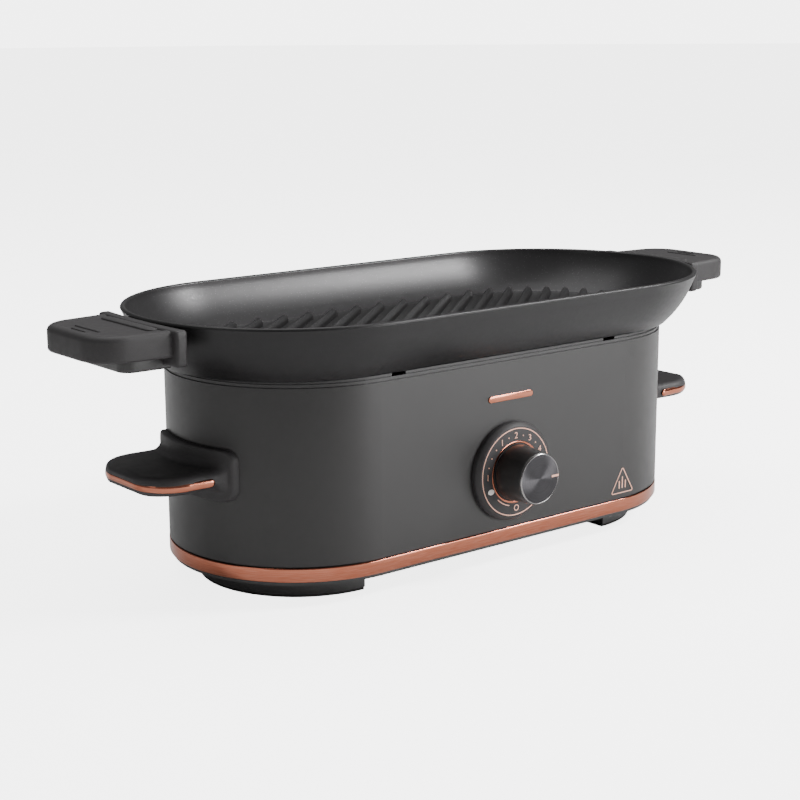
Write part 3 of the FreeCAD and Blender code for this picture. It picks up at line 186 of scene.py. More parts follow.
# %% Stage: floor, surroundings and lamps
floor_half = 25.0
floor_glow_seen = 4.0
studio_light = 0.25
studio_seen = 5.0
floor_mesh = bpy.data.meshes.new("floor")
floor_mesh.from_pydata([(-floor_half, -floor_half, 0), (floor_half, -floor_half, 0),
                        (floor_half, floor_half, 0), (-floor_half, floor_half, 0)], [],
                        [(0, 1, 2, 3)])
floor = place_object("floor", floor_mesh)
paper, tree, shader, place = material("matte_white_paper",
                                      {"Roughness": 0.9, "Specular IOR Level": 0.1})
tint(tree, shader, grain(tree, place, 0.4).outputs["Fac"], "#FBFBFB", "#FFFFFF")
seen = add(tree, "ShaderNodeLightPath")
glow = add(tree, "ShaderNodeMapRange", {"To Min": 0.0, "To Max": floor_glow_seen},
           Value=seen.outputs["Is Camera Ray"])
tree.links.new(glow.outputs["Result"], shader.inputs["Emission Strength"])
shader.inputs["Emission Color"].default_value = linear("#FFFFFF")
floor_mesh.materials.append(paper)

world = bpy.data.worlds.new("studio")
world.use_nodes = True
studio = world.node_tree
background = studio.nodes["Background"]
background.inputs["Color"].default_value = linear("#FFFFFF")
seen = add(studio, "ShaderNodeLightPath")
brightness = add(studio, "ShaderNodeMapRange", {"To Min": studio_light, "To Max": studio_seen},
                 Value=seen.outputs["Is Camera Ray"])
studio.links.new(brightness.outputs["Result"], background.inputs["Strength"])
bpy.context.scene.world = world


def lamp(name, spot, target, width, height, watts):
    """A rectangular soft lamp that faces a point."""
    data = bpy.data.lights.new(name, "AREA")
    data.shape = "RECTANGLE"
    data.size = width
    data.size_y = height
    data.energy = watts
    facing = (Vector(target) - Vector(spot)).to_track_quat("-Z", "Y")
    place_object(name, data).matrix_world = Matrix.Translation(spot) @ facing.to_matrix().to_4x4()


lamp("overhead", (0.0, 0.4, 1.7), aim, 1.8, 1.2, 22)
lamp("front_right_low", (1.05, -1.75, 0.32), aim, 0.7, 0.6, 22)
lamp("front_right_high", (1.35, -0.9, 1.35), aim, 0.45, 0.45, 50)
lamp("left_fill", (-1.6, -0.3, 0.7), aim, 0.5, 0.7, 2)

# %% [markdown]
# Finishes. Each is named for the real material and starts from typical values for it. Patterns are
# sized in millimetres from the real surface: the paint's orange peel is about a millimetre across,
# spark-eroded plastic has a grain of about 0.4 mm, and non-stick coating carries bright flecks.

# %% Painted steel: a low-sheen stoving enamel with faint orange peel
painted_steel, tree, shader, place = material("painted_steel_warm_grey",
                                              {"Roughness": 0.5, "IOR": 1.5})
peel = grain(tree, place, 1.2 * MM, 2.0).outputs["Fac"]
tint(tree, shader, grain(tree, place, 60 * MM, 1.0).outputs["Fac"], "#1A1818", "#1D1B1B")
vary(tree, shader, "Roughness", grain(tree, place, 9 * MM).outputs["Fac"], 0.36, 0.44)
bump(tree, shader, peel, 0.03 * MM, 0.25)

# %% Moulded grey plastic: spark-eroded ABS, matte, darker in the pits
grey_abs, tree, shader, place = material("moulded_abs_grey", {"Roughness": 0.6, "IOR": 1.46})
pits = grain(tree, place, 0.45 * MM, 4.0).outputs["Fac"]
tint(tree, shader, pits, "#262425", "#2D2B2C")
vary(tree, shader, "Roughness", grain(tree, place, 6 * MM).outputs["Fac"], 0.52, 0.66)
bump(tree, shader, pits, 0.05 * MM, 0.35)

# %% Black phenolic and black ABS: smoother, nearly black, a soft sheen
black_plastic, tree, shader, place = material("moulded_black_phenolic",
                                              {"Roughness": 0.42, "IOR": 1.55})
pits = grain(tree, place, 0.6 * MM, 3.0).outputs["Fac"]
tint(tree, shader, pits, "#1D1C1C", "#232222")
vary(tree, shader, "Roughness", grain(tree, place, 5 * MM).outputs["Fac"], 0.36, 0.5)
bump(tree, shader, pits, 0.03 * MM, 0.2)

# %% Rose-gold plate: a mirror-like electroplate with very fine polishing lines
rose_gold, tree, shader, place = material("polished_rose_gold_plate",
                                          {"Metallic": 1.0, "Roughness": 0.2})
lines = add(tree, "ShaderNodeMapping", {"Scale": (0.05, 0.05, 1.0)}, Vector=place).outputs["Vector"]
polish = grain(tree, lines, 0.5 * MM, 2.0).outputs["Fac"]
tint(tree, shader, polish, "#A4614B", "#B2725D")
vary(tree, shader, "Roughness", polish, 0.10, 0.18)
bump(tree, shader, polish, 0.01 * MM, 0.15)

# %% Rose-gold ink: the flat printed marks of the dial
gold_ink, tree, shader, place = material("printed_rose_gold_ink",
                                         {"Metallic": 0.35, "Roughness": 0.45})
tint(tree, shader, grain(tree, place, 0.3 * MM).outputs["Fac"], "#E3A991", "#EDBBA6")

# %% Non-stick coating: dark PTFE over cast aluminium, with pale flecks that catch the light
fleck_core = 0.10  # how far the full colour and the faded edge reach, as parts of a cell
fleck_edge = 0.22
bare_share = 0.62  # only cells whose random number is above this have a fleck


def nonstick(name, ground_low, ground_high, fleck_size, rough, fleck_colour):
    """A dark coating: a cloudy ground, with round flecks in some cells of a pattern."""
    made, tree, shader, place = material(name, {"Metallic": 0.4, "Roughness": rough, "IOR": 1.4,
                                                "Coat Weight": 0.1, "Coat Roughness": 0.3})
    cells = add(tree, "ShaderNodeTexVoronoi", {"Scale": 1 / fleck_size, "Randomness": 1.0},
                Vector=place)
    dots = add(tree, "ShaderNodeMapRange",
               {"From Min": fleck_core, "From Max": fleck_edge, "To Min": 1.0, "To Max": 0.0},
               Value=cells.outputs["Distance"])
    thin = add(tree, "ShaderNodeMath", {"operation": "GREATER_THAN", 1: bare_share},
               _0=cells.outputs["Color"])
    some = add(tree, "ShaderNodeMath", {"operation": "MULTIPLY"}, _0=dots.outputs["Result"],
               _1=thin.outputs["Value"])
    clouds = add(tree, "ShaderNodeMix", {"data_type": "RGBA"},
                 Factor=grain(tree, place, 20 * MM).outputs["Fac"])
    clouds.inputs[6].default_value = linear(ground_low)
    clouds.inputs[7].default_value = linear(ground_high)
    fleck = add(tree, "ShaderNodeMix", {"data_type": "RGBA"}, Factor=some.outputs["Value"])
    tree.links.new(clouds.outputs[2], fleck.inputs[6])
    fleck.inputs[7].default_value = linear(fleck_colour)
    tree.links.new(fleck.outputs[2], shader.inputs["Base Color"])
    vary(tree, shader, "Roughness", grain(tree, place, 2.5 * MM).outputs["Fac"], rough - 0.06,
         rough + 0.08)
    bump(tree, shader, grain(tree, place, 0.9 * MM, 4.0).outputs["Fac"], 0.04 * MM, 0.5)
    return made


coated_inside = nonstick("nonstick_coating_inside", "#242324", "#2A292A", 1.1 * MM, 0.38, "#565456")
coated_outside = nonstick("nonstick_coating_outside", "#1C1B1C", "#201F20", 0.9 * MM, 0.44,
                          "#2C2B2C")

# %% Bare metals, rubber and leads
def plain(name, low, high, rough, lump, metal=False):
    """A simple finish: one noise, with lumps of this size, moves its colour, gloss and relief."""
    smoother, rougher, relief = (0.08, 0.1, 0.03 * MM) if metal else (0.06, 0.06, 0.04 * MM)
    made, tree, shader, place = material(name, {"Metallic": 1.0} if metal else {})
    field = grain(tree, place, lump, 4.0).outputs["Fac"]
    tint(tree, shader, field, low, high)
    vary(tree, shader, "Roughness", field, rough - smoother, rough + rougher)
    bump(tree, shader, field, relief, 0.3)
    return made


cast_aluminium = plain("cast_aluminium", "#9A9A9C", "#B4B4B6", 0.48, 1.5 * MM, metal=True)
zinc_steel = plain("zinc_plated_steel", "#A9A9A7", "#C4C4C0", 0.32, 3 * MM, metal=True)
brass = plain("turned_brass", "#B98F45", "#CBA45A", 0.3, 2 * MM, metal=True)
foot_rubber = plain("moulded_rubber", "#111111", "#1A1A1A", 0.8, 0.8 * MM)
glass_braid = plain("glass_braid_sleeve", "#C9BFA9", "#DDD4BF", 0.8, 0.7 * MM)
earth_sleeve = plain("green_yellow_sleeve", "#6F8F22", "#B9B02A", 0.5, 5 * MM)
lamp_plastic = plain("opal_polycarbonate", "#EFE9E2", "#FBF6F0", 0.3, 2 * MM)
print(len(bpy.data.materials), "materials so far")

# %% [markdown]
# Shapes made of rings. Nearly everything on this object has a plan like a taut band round a few
# circles: a stadium is a band round two circles, and a grip is a band round four. Such a band can
# be grown or shrunk exactly, by changing the circles' radii, so a stack of bands at different
# heights gives walls, rounded edges and dished tops with clean quads and no boolean.

# %% Bands, lofts and turned shapes
def band(circles, grow=0.0, arc_steps=24, line_steps=1):
    """Points of a taut band round circles (x, y, radius), anticlockwise, always equally many."""
    headings = []
    for here, after in zip(circles, circles[1:] + circles[:1]):
        dx = after[0] - here[0]
        dy = after[1] - here[1]
        headings.append(math.atan2(dy, dx) - math.pi / 2
                        - math.asin((after[2] - here[2]) / math.hypot(dx, dy)))
    points = []
    for index, (x, y, radius) in enumerate(circles):
        start = headings[index - 1]
        sweep = (headings[index] - start) % (2 * math.pi)
        arc = [Vector((x + (radius + grow) * math.cos(start + sweep * k / arc_steps),
                       y + (radius + grow) * math.sin(start + sweep * k / arc_steps)))
                       for k in range(arc_steps + 1)]
        after = circles[(index + 1) % len(circles)]
        heading = Vector((math.cos(headings[index]), math.sin(headings[index])))
        begin = Vector((after[0], after[1])) + heading * (after[2] + grow)
        points += arc + [arc[-1].lerp(begin, k / line_steps) for k in range(1, line_steps)]
    return points


def new_piece(name, vertices, faces, made, body, slot, smooth=40):
    """A mesh object at the origin, with its normals outwards, that rides on a body."""
    mesh = bpy.data.meshes.new(name)
    mesh.from_pydata([tuple(v) for v in vertices], [], faces)
    shape = bmesh.new()
    shape.from_mesh(mesh)
    bmesh.ops.remove_doubles(shape, verts=shape.verts, dist=1e-7)
    bmesh.ops.dissolve_degenerate(shape, edges=shape.edges, dist=1e-7)
    bmesh.ops.recalc_face_normals(shape, faces=shape.faces)
    shape.to_mesh(mesh)
    shape.free()
    for polygon in mesh.polygons:
        polygon.use_smooth = True
    mesh.set_sharp_from_angle(angle=math.radians(smooth))
    mesh.materials.append(made)
    piece = place_object(name, mesh)
    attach(piece, body)
    return piece


def loft(rings, closed=False):
    """Vertices and faces of a skin over rings of equal count, with flat ends unless it closes."""
    count = len(rings[0])
    vertices = [point for ring in rings for point in ring]
    faces = []
    for level in range(len(rings) if closed else len(rings) - 1):
        low = level * count
        high = (level + 1) % len(rings) * count
        for k in range(count):
            faces.append((low + k, low + (k + 1) % count, high + (k + 1) % count, high + k))
    if not closed:
        faces.append(tuple(range(count))[::-1])
        faces.append(tuple(range(len(vertices) - count, len(vertices))))
    return vertices, faces


def stack(circles, layers, centre_y=0.0, **steps):
    """Rings of one band at several (height, growth) layers."""
    return [[Vector((p.x, p.y + centre_y, z)) for p in band(circles, grow, **steps)]
            for z, grow in layers]


def turned(profile, centre, steps=128):
    """Rings about a line along Y: the profile is (y, radius) from one end to the other."""
    return [[Vector((centre.x + radius * math.cos(2 * math.pi * k / steps), y,
                     centre.z + radius * math.sin(2 * math.pi * k / steps))) for k in range(steps)]
            for y, radius in profile]


def rounded_corner(across, up, radius, start, steps=6):
    """A quarter circle round (across, up), as (height, growth); start is in quarter turns."""
    return [(up + radius * math.sin(math.pi / 2 * (start + k / steps)),
             across + radius * math.cos(math.pi / 2 * (start + k / steps)))
             for k in range(steps + 1)]


# %% Sizes read from the frame
shell_low, shell_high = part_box("housing_shell")
mid_y = (shell_low.y + shell_high.y) / 2
base_radius = (shell_high.y - shell_low.y) / 2
base_span = (shell_high.x - shell_low.x) / 2 - base_radius
pan_low, pan_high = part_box("grill_pan")
pan_radius = (pan_high.y - pan_low.y) / 2
pan_top = pan_high.z
pan_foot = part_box("heating_plate")[1].z
pan_span = 104 * MM
pan_plan = [(-pan_span, 0, 0), (pan_span, 0, 0)]
print("base", round(base_radius / MM, 1), "x", round((base_span + base_radius) / MM, 1),
      "mm half sizes")

# %% [markdown]
# The grill pan. On the real object it is one casting: a thin rim, a side wall that bulges a
# little and then tucks in to a flat foot, and slanted ribs across the floor. Its wall is one
# profile carried round the stadium plan, so the profile is written once as heights and outward
# growth, and lofted. The rim is fully rounded, and the floor meets the wall in a fillet, as a
# mould needs.

# %% Pan profile
def bulged(start, end, radius, steps, swell=1.0):
    """Points of a shallow arc between two (height, reach) points, swelling outwards."""
    a = Vector(start)
    b = Vector(end)
    chord = b - a
    sag = radius - math.sqrt(radius ** 2 - chord.length_squared / 4)
    out = Vector((-chord.y, chord.x)).normalized()
    return [a + chord * (k / steps) + out * (swell * sag * 4 * (k / steps) * (1 - k / steps))
            for k in range(steps + 1)]


def fillet(before, corner, after, radius, steps=6):
    """Points that round a corner of a profile."""
    a = (Vector(before) - Vector(corner)).normalized()
    b = (Vector(after) - Vector(corner)).normalized()
    reach = min(radius / math.tan(a.angle(b) / 2), (Vector(after) - Vector(corner)).length * 0.9)
    p = Vector(corner) + a * reach
    q = Vector(corner) + b * reach
    c = Vector(corner)
    return [p * (1 - t) ** 2 + c * (2 * t * (1 - t)) + q * t ** 2
            for t in [k / steps for k in range(steps + 1)]]


wall = 3.2 * MM
floor_top = pan_foot + 5.8 * MM
lip_foot = pan_top - 5 * MM
foot_reach = 80 * MM
lip_reach = pan_radius - 1.6 * MM
wall_bulge = 70 * MM
wall_steps = 16
outer = bulged((pan_foot, foot_reach), (lip_foot, lip_reach), wall_bulge, wall_steps)
inner = bulged((floor_top, foot_reach - wall), (lip_foot, lip_reach - wall), wall_bulge,
               wall_steps)[::-1]


def outer_reach(height):
    """How far out the pan's outer wall is at a height."""
    for a, b in zip(outer[:-1], outer[1:]):
        if a.x <= height <= b.x:
            return a.y + (b.y - a.y) * (height - a.x) / (b.x - a.x)
    return foot_reach if height < outer[0].x else lip_reach + (pan_radius - lip_reach) * min(
        1.0, (height - lip_foot) / (pan_top - lip_foot))


rim_middle = pan_radius - wall / 2
rim_round = wall / 2
rim = [(pan_top - rim_round + rim_round * math.sin(math.pi * k / 12),
        rim_middle + rim_round * math.cos(math.pi * k / 12)) for k in range(13)]
rounded = 4
foot_edge = fillet((pan_foot, foot_reach - 8 * MM), (pan_foot, foot_reach),
                   tuple(outer[rounded - 1]), 3 * MM)
floor_edge = fillet(tuple(inner[-rounded]), (floor_top, foot_reach - wall),
                    (floor_top, foot_reach - 20 * MM), 4 * MM)
profile = [tuple(p) for p in foot_edge + outer[rounded:]] + rim
profile += [tuple(p) for p in inner[:-rounded] + floor_edge]
bowl_rings = stack(pan_plan, profile, mid_y, arc_steps=40, line_steps=30)
bowl = new_piece("pan_bowl", *loft(bowl_rings), coated_inside, "pan", "pan_coating", 30)
bowl.data.materials.append(coated_outside)
for polygon in bowl.data.polygons:
    reach = math.hypot(max(0.0, abs(polygon.center.x) - pan_span), polygon.center.y - mid_y)
    outward = polygon.normal.z < -0.05 or reach > outer_reach(polygon.center.z) - wall * 0.6
    polygon.material_index = 1 if outward and polygon.center.z < pan_top - 0.2 * MM else 0
print("bowl has", len(bowl.data.polygons), "faces, rim at", round(pan_top / MM, 1), "mm")

# %% [markdown]
# The ribs repeat: the same rounded bar, at one pitch, on a slant of 48 degrees, each as long as the
# floor allows. Geometry Nodes is the tool for that. Plain code draws only the centre lines, and the
# tree turns each into a curve, measures how near each point is to an end, and sweeps a rounded
# profile that shrinks towards the ends, so every rib dies away in the floor as a cast one does.

# %% Rib centre lines
rib_angle = math.radians(48)
rib_pitch = 13.2 * MM
rib_field = foot_reach - wall - 3.5 * MM
search_steps = 600
shortest_rib = 30
station_gap = 4 * MM
end_stations = [0.8 * MM, 1.8 * MM, 3 * MM]
along = Vector((math.cos(math.pi / 2 - rib_angle), math.sin(math.pi / 2 - rib_angle)))
across = Vector((-along.y, along.x))


def inside_field(point):
    """Whether a point of the floor is far enough from the wall for a rib."""
    return math.hypot(max(0.0, abs(point.x) - pan_span), point.y) < rib_field


line_points = []
line_edges = []
half_count = int((pan_span + pan_radius) / rib_pitch)
for index in range(-half_count, half_count + 1):
    start = across * (index * rib_pitch)
    steps = [t * MM / 2 for t in range(-search_steps, search_steps + 1)
             if inside_field(start + along * (t * MM / 2))]
    if len(steps) < shortest_rib:
        continue
    first = len(line_points)
    pieces = max(12, int((steps[-1] - steps[0]) / station_gap))
    stations = [steps[0] + (steps[-1] - steps[0]) * k / pieces for k in range(pieces + 1)]
    stations += [steps[0] + e for e in end_stations] + [steps[-1] - e for e in end_stations]
    stations = sorted(set(stations))
    for t in stations:
        spot = start + along * t
        line_points.append((spot.x, spot.y + mid_y, floor_top))
    line_edges += [(k, k + 1) for k in range(first, len(line_points) - 1)]
print(len(line_edges), "rib line segments")


# %% Geometry Nodes: helpers for a tree, its inputs and its result
def new_tree(name, sizes):
    """A geometry tree with a mesh input, a mesh output and named sizes."""
    tree = bpy.data.node_groups.new(name, "GeometryNodeTree")
    tree.interface.new_socket("Geometry", in_out="INPUT", socket_type="NodeSocketGeometry")
    tree.interface.new_socket("Geometry", in_out="OUTPUT", socket_type="NodeSocketGeometry")
    for key, value in sizes.items():
        kind = "NodeSocketInt" if isinstance(value, int) else "NodeSocketFloat"
        tree.interface.new_socket(key, in_out="INPUT", socket_type=kind).default_value = value
    return tree, tree.nodes.new("NodeGroupInput"), tree.nodes.new("NodeGroupOutput")


def run_tree(holder, tree, sizes, name, made, body, slot, smooth=40):
    """Run the tree on its holder, keep the result as a plain mesh piece and drop the holder."""
    modifier = holder.modifiers.new("shape", "NODES")
    modifier.node_group = tree
    for item in tree.interface.items_tree:
        if item.in_out == "INPUT" and item.name in sizes:
            modifier[item.identifier] = sizes[item.name]
    ready = bpy.context.evaluated_depsgraph_get()
    mesh = bpy.data.meshes.new_from_object(holder.evaluated_get(ready))
    holder.modifiers.remove(modifier)
    vertices = [v.co.copy() for v in mesh.vertices]
    faces = [tuple(p.vertices) for p in mesh.polygons]
    piece = new_piece(name, vertices, faces, made, body, slot, smooth)
    bpy.data.objects.remove(holder)
    return piece


# %% Geometry Nodes: sweep an oval along lines, and shrink it towards their ends
def lines_holder(name, points, edges):
    """An object that holds bare points and lines, for a tree to work on."""
    mesh = bpy.data.meshes.new(name)
    mesh.from_pydata(points, edges, [])
    return place_object(name, mesh)


def sweep_tree(name, sizes, made, sides, thinnest):
    """A tree with sizes Half width, Half height and End taper; Spacing, if given, evens points."""
    tree, given, result = new_tree(name, sizes)
    line = add(tree, "GeometryNodeMeshToCurve", None, Mesh=given.outputs["Geometry"])
    if "Spacing" in sizes:
        line = add(tree, "GeometryNodeResampleCurve", {"mode": "LENGTH"},
                   Curve=line.outputs["Curve"], Length=given.outputs["Spacing"])
    station = add(tree, "GeometryNodeSplineParameter").outputs["Length"]
    length = add(tree, "GeometryNodeSplineLength").outputs["Length"]
    left = add(tree, "ShaderNodeMath", {"operation": "SUBTRACT"}, _0=length, _1=station)
    nearest = add(tree, "ShaderNodeMath", {"operation": "MINIMUM"}, _0=station,
                  _1=left.outputs["Value"])
    share = add(tree, "ShaderNodeMath", {"operation": "DIVIDE", "use_clamp": True},
                _0=nearest.outputs["Value"], _1=given.outputs["End taper"])
    # A round end: the scale is the square root of 1 - (1 - share) squared.
    scale = share.outputs["Value"]
    round_end = (("SUBTRACT", 1.0, 0), ("POWER", 2.0, 1), ("SUBTRACT", 1.0, 0), ("SQRT", 0.0, 1),
                 ("MAXIMUM", thinnest, 1))
    for operation, number, number_at in round_end:
        scale = add(tree, "ShaderNodeMath", {"operation": operation, number_at: number},
                    **{f"_{1 - number_at}": scale}).outputs["Value"]
    circle = add(tree, "GeometryNodeCurvePrimitiveCircle", {"Resolution": sides, "Radius": 1.0})
    oval = add(tree, "ShaderNodeCombineXYZ", {"Z": 1.0}, X=given.outputs["Half width"],
               Y=given.outputs["Half height"])
    section = add(tree, "GeometryNodeTransform", None, Geometry=circle.outputs["Curve"],
                  Scale=oval.outputs["Vector"])
    swept = add(tree, "GeometryNodeCurveToMesh", {"Fill Caps": True}, Curve=line.outputs["Curve"],
                Profile_Curve=section.outputs["Geometry"], Scale=scale)
    real = add(tree, "GeometryNodeRealizeInstances", None, Geometry=swept.outputs["Mesh"])
    finish = add(tree, "GeometryNodeSetMaterial", {"Material": made},
                 Geometry=real.outputs["Geometry"])
    tree.links.new(finish.outputs["Geometry"], result.inputs["Geometry"])
    return tree


# %% Sweep the ribs, half sunk in the floor
rib_sizes = {"Half width": 3.1 * MM, "Half height": 4.9 * MM, "End taper": 5.5 * MM}
rib_tree = sweep_tree("ribs_along_lines", rib_sizes, coated_inside, 16, 0.12)
ribs = run_tree(lines_holder("rib_lines", line_points, line_edges), rib_tree, rib_sizes, "pan_ribs",
                coated_inside, "pan", "pan_coating", 50)
rib_low = min(v.co.z for v in ribs.data.vertices)
rib_high = max(v.co.z for v in ribs.data.vertices)
print("ribs from", round(rib_low / MM, 1), "to", round(rib_high / MM, 1), "mm,",
      len(ribs.data.polygons), "faces")

# %% Centring ring under the bowl
ring_low = pan_low.z
ring_inner = 63.5 * MM
ring_outer = 65.5 * MM
ring_edge = 0.4 * MM
ring_top = pan_foot + 0.2 * MM
ring_layers = [(ring_top, ring_outer), (ring_low + ring_edge, ring_outer),
               (ring_low, ring_outer - ring_edge), (ring_low, ring_inner + ring_edge),
               (ring_low + ring_edge, ring_inner), (ring_top, ring_inner)]
ring_loops = stack(pan_plan, ring_layers, mid_y, arc_steps=32)
new_piece("pan_centring_ring", *loft(ring_loops, closed=True), coated_outside, "pan", "pan_coating")
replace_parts(bowl, "grill_pan")
print("centring ring hangs to", round(ring_low / MM, 1), "mm")

# %% [markdown]
# The pan's two handles are moulded plastic. Each is a broad, slightly tapered grip with softly
# rounded edges, joined to a thin upright flange at the end of the bowl. A grip is a stack of
# outlines at different heights. Each outline is cut off by one wide circle, almost a straight
# line, that runs inside the flange. That gives a clean seat with clean quads, where a boolean
# would leave slivers.

# %% A grip's outline, cut off by a wide circle
def grip_outline(corners, grow, centre_x, reach, side_steps=14, seat_steps=28):
    """Anticlockwise outline of a grip that points to -X, ending on a circle of the given reach."""
    arc_steps = 14
    points = band(corners, grow, arc_steps)
    arcs = [points[k * (arc_steps + 1):(k + 1) * (arc_steps + 1)] for k in range(4)]
    centre = Vector((centre_x, 0))

    def cut_side(root, tip):
        step = (tip - root).normalized()
        gap = root - centre
        half = gap.dot(step)
        return root + step * (-half + math.sqrt(half ** 2 - gap.length_squared + reach ** 2))

    far = cut_side(arcs[1][-1], arcs[2][0])
    near = cut_side(arcs[0][0], arcs[3][-1])
    outline = [far.lerp(arcs[2][0], k / side_steps) for k in range(side_steps)] + arcs[2] + arcs[3]
    outline += [arcs[3][-1].lerp(near, k / side_steps) for k in range(1, side_steps + 1)]
    start = math.atan2(near.y, near.x - centre_x) % (2 * math.pi)
    end = math.atan2(far.y, far.x - centre_x) % (2 * math.pi)
    outline += [centre + Vector((math.cos(a), math.sin(a))) * reach
                for a in [start + (end - start) * k / seat_steps for k in range(1, seat_steps)]]
    return outline


def grip_rings(corners, layers, centre_x, reach):
    """Rings of a grip at (height, growth) layers."""
    return [[Vector((p.x, p.y + mid_y, z)) for p in grip_outline(corners, grow, centre_x, reach)]
            for z, grow in layers]


def both_ends(name, rings, made, body, slot, stands_for, smooth):
    """A left piece from rings and a right one turned half way round the middle of the object."""
    for side, sign in (("left", 1), ("right", -1)):
        moved = [[Vector((sign * p.x, mid_y + sign * (p.y - mid_y), p.z)) for p in ring]
                 for ring in rings]
        piece = new_piece(f"{name}_{side}", *loft(moved), made, body, slot, smooth)
        if stands_for:
            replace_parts(piece, f"{stands_for}_{side}")


# %% Pan handle grips
grip_low, grip_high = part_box("pan_handle_left")
grip_top = grip_high.z - 0.8 * MM
grip_foot = grip_top - 14.6 * MM
tip_corner = 21 * MM
grip_half = 41.5 * MM
root_round = 3 * MM
root_x = -pan_span - 80 * MM
tip_spread = 15.5 * MM
grip_plan = [(root_x, root_round - grip_half, root_round),
             (root_x, grip_half - root_round, root_round),
             (grip_low.x + tip_corner, tip_spread, tip_corner),
             (grip_low.x + tip_corner, -tip_spread, tip_corner)]
edge = 3.6 * MM
under = 1.8 * MM
dish = ((0.02, 2.2), (0.45, 3.6), (0.65, 5.5), (0.7, 9))  # mm below the top, mm inside its edge
layers = [(grip_foot + 0.05 * MM, -9 * MM)]
layers += rounded_corner(-under, grip_foot + under, under, -1, 5)
layers += rounded_corner(-edge, grip_top - edge, edge, 0, 8)
layers += [(grip_top - drop * MM, -edge - inset * MM) for drop, inset in dish]
seat_centre = 150 * MM
seat_reach = seat_centre + pan_span + pan_radius + 2 * MM
both_ends("pan_grip", grip_rings(grip_plan, layers, seat_centre, seat_reach), grey_abs, "pan",
          "grey_plastic", "pan_handle", 50)
print("grip from", round(grip_foot / MM, 1), "to", round(grip_top / MM, 1), "mm, tip at",
      round(grip_low.x / MM, 1))

# %% Flanges: an upright, almost flat plate across each end of the bowl
flange_half = 43 * MM
flange_foot = grip_low.z
flange_top = grip_high.z
flange_thick = 4.4 * MM
flange_bow = 420 * MM


def flange_ring(y, share):
    """One upright section of the flange at a distance across; share shrinks it at the ends."""
    bow = (flange_half ** 2 - y ** 2) / (2 * flange_bow)
    face = -pan_span - pan_radius - 1.2 * MM - bow - (1 - share) * 0.8 * MM
    thick = flange_thick * share + 1.6 * MM * (1 - share)
    drop = 4.0 * MM * (1 - share)
    low = flange_foot + drop + thick / 2
    high = flange_top - drop - thick / 2
    side = thick / 2
    corner = thick * 0.42
    corners = [(-side, low, corner), (side, low, corner), (side, high, corner),
               (-side, high, corner)]
    loop = band(corners, 0.0, 8, 6)
    return [Vector((face + p.x * 0.9, mid_y + y, p.y)) for p in loop]


flange_steps = 24
stations = [flange_half * math.sin(math.pi / 2 * k / flange_steps)
            for k in range(-flange_steps, flange_steps + 1)]
end_round = 2.2 * MM
flange_rings = []
for y in stations:
    away = min(1.0, (flange_half - abs(y)) / end_round)
    flange_rings.append(flange_ring(y, math.sqrt(max(0.0, 1 - (1 - away) ** 2))))
both_ends("pan_flange", flange_rings, grey_abs, "pan", "grey_plastic", None, 50)
print("flange stands", round((flange_top - grip_top) / MM, 1), "mm above the grip")

# %% Webs that fill the space between each flange and the bowl, under the rim
web_half = 22 * MM
web_foot = flange_foot + 1.5 * MM
web_height = flange_top - flange_foot - 3.2 * MM
web_sink = 1.0 * MM
web_levels = 10
web_steps = 24
outer_x = -pan_span - pan_radius - web_sink
web_rings = []
for height in [web_foot + web_height * k / web_levels for k in range(web_levels + 1)]:
    inner_reach = outer_reach(height) - web_sink
    seat = [Vector((-pan_span - math.sqrt(inner_reach ** 2 - y ** 2), mid_y + y, height))
            for y in [web_half * (1 - 2 * k / web_steps) for k in range(web_steps + 1)]]
    back = [Vector((outer_x, mid_y - web_half + 2 * web_half * k / web_steps, height))
            for k in range(web_steps + 1)]
    web_rings.append(seat + back)
both_ends("pan_web", web_rings, grey_abs, "pan", "grey_plastic", None, 50)
print("webs reach", round(web_half / MM, 1), "mm to each side")

# %% [markdown]
# Details on the grips: two short raised thumb ridges near the tip and a slim raised pad near the
# bowl. They are low ovals standing a few tenths of a millimetre out of the dished top.

# %% Thumb ridges
def raised_bar(name, x, y_from, y_to, width, height, foot):
    """A pill-shaped bar along Y with a rounded top on the left grip, and its twin on the right."""
    ends = [(y_from + width / 2, 0, width / 2), (y_to - width / 2, 0, width / 2)]
    layers = [(foot - 0.6 * MM, 0.0), (foot + height * 0.4, 0.0),
              (foot + height * 0.8, -0.25 * height), (foot + height, -0.9 * height)]
    rings = [[Vector((x + p.y, mid_y + p.x, z)) for p in band(ends, grow, 10)]
             for z, grow in layers]
    both_ends(name, rings, grey_abs, "pan", "grey_plastic", None, 60)


dish_floor = grip_top - 0.7 * MM
raised_bar("thumb_ridge_inner", -238 * MM, -12 * MM, 15 * MM, 2.2 * MM, 0.65 * MM, dish_floor)
raised_bar("thumb_ridge_outer", -244 * MM, -8 * MM, 8 * MM, 2.0 * MM, 0.65 * MM,
           dish_floor + 0.1 * MM)
raised_bar("bowl_side_pad", -213.5 * MM, -27 * MM, 27 * MM, 7 * MM, 0.9 * MM, dish_floor)
print("ridges placed")

# %% Lower halves of the pan handles, each with a clear step below the grip
lower_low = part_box("pan_handle_lower_left")[0]
lower_root = 27 * MM
lower_tip = 21 * MM
lower_corner = 8 * MM
lower_plan = [(root_x, -lower_root, root_round), (root_x, lower_root, root_round),
              (lower_low.x + lower_corner, lower_tip, lower_corner),
              (lower_low.x + lower_corner, -lower_tip, lower_corner)]
soft = 1.6 * MM
layers = [(lower_low.z, -6 * MM)] + rounded_corner(-soft, lower_low.z + soft, soft, -1, 5)
layers += [(grip_foot + 0.3 * MM, 0.0)]
both_ends("pan_grip_lower", grip_rings(lower_plan, layers, seat_centre, seat_reach),
          black_plastic, "pan", "grey_plastic", "pan_handle_lower", 50)
print("lower halves hang to", round(lower_low.z / MM, 1), "mm")

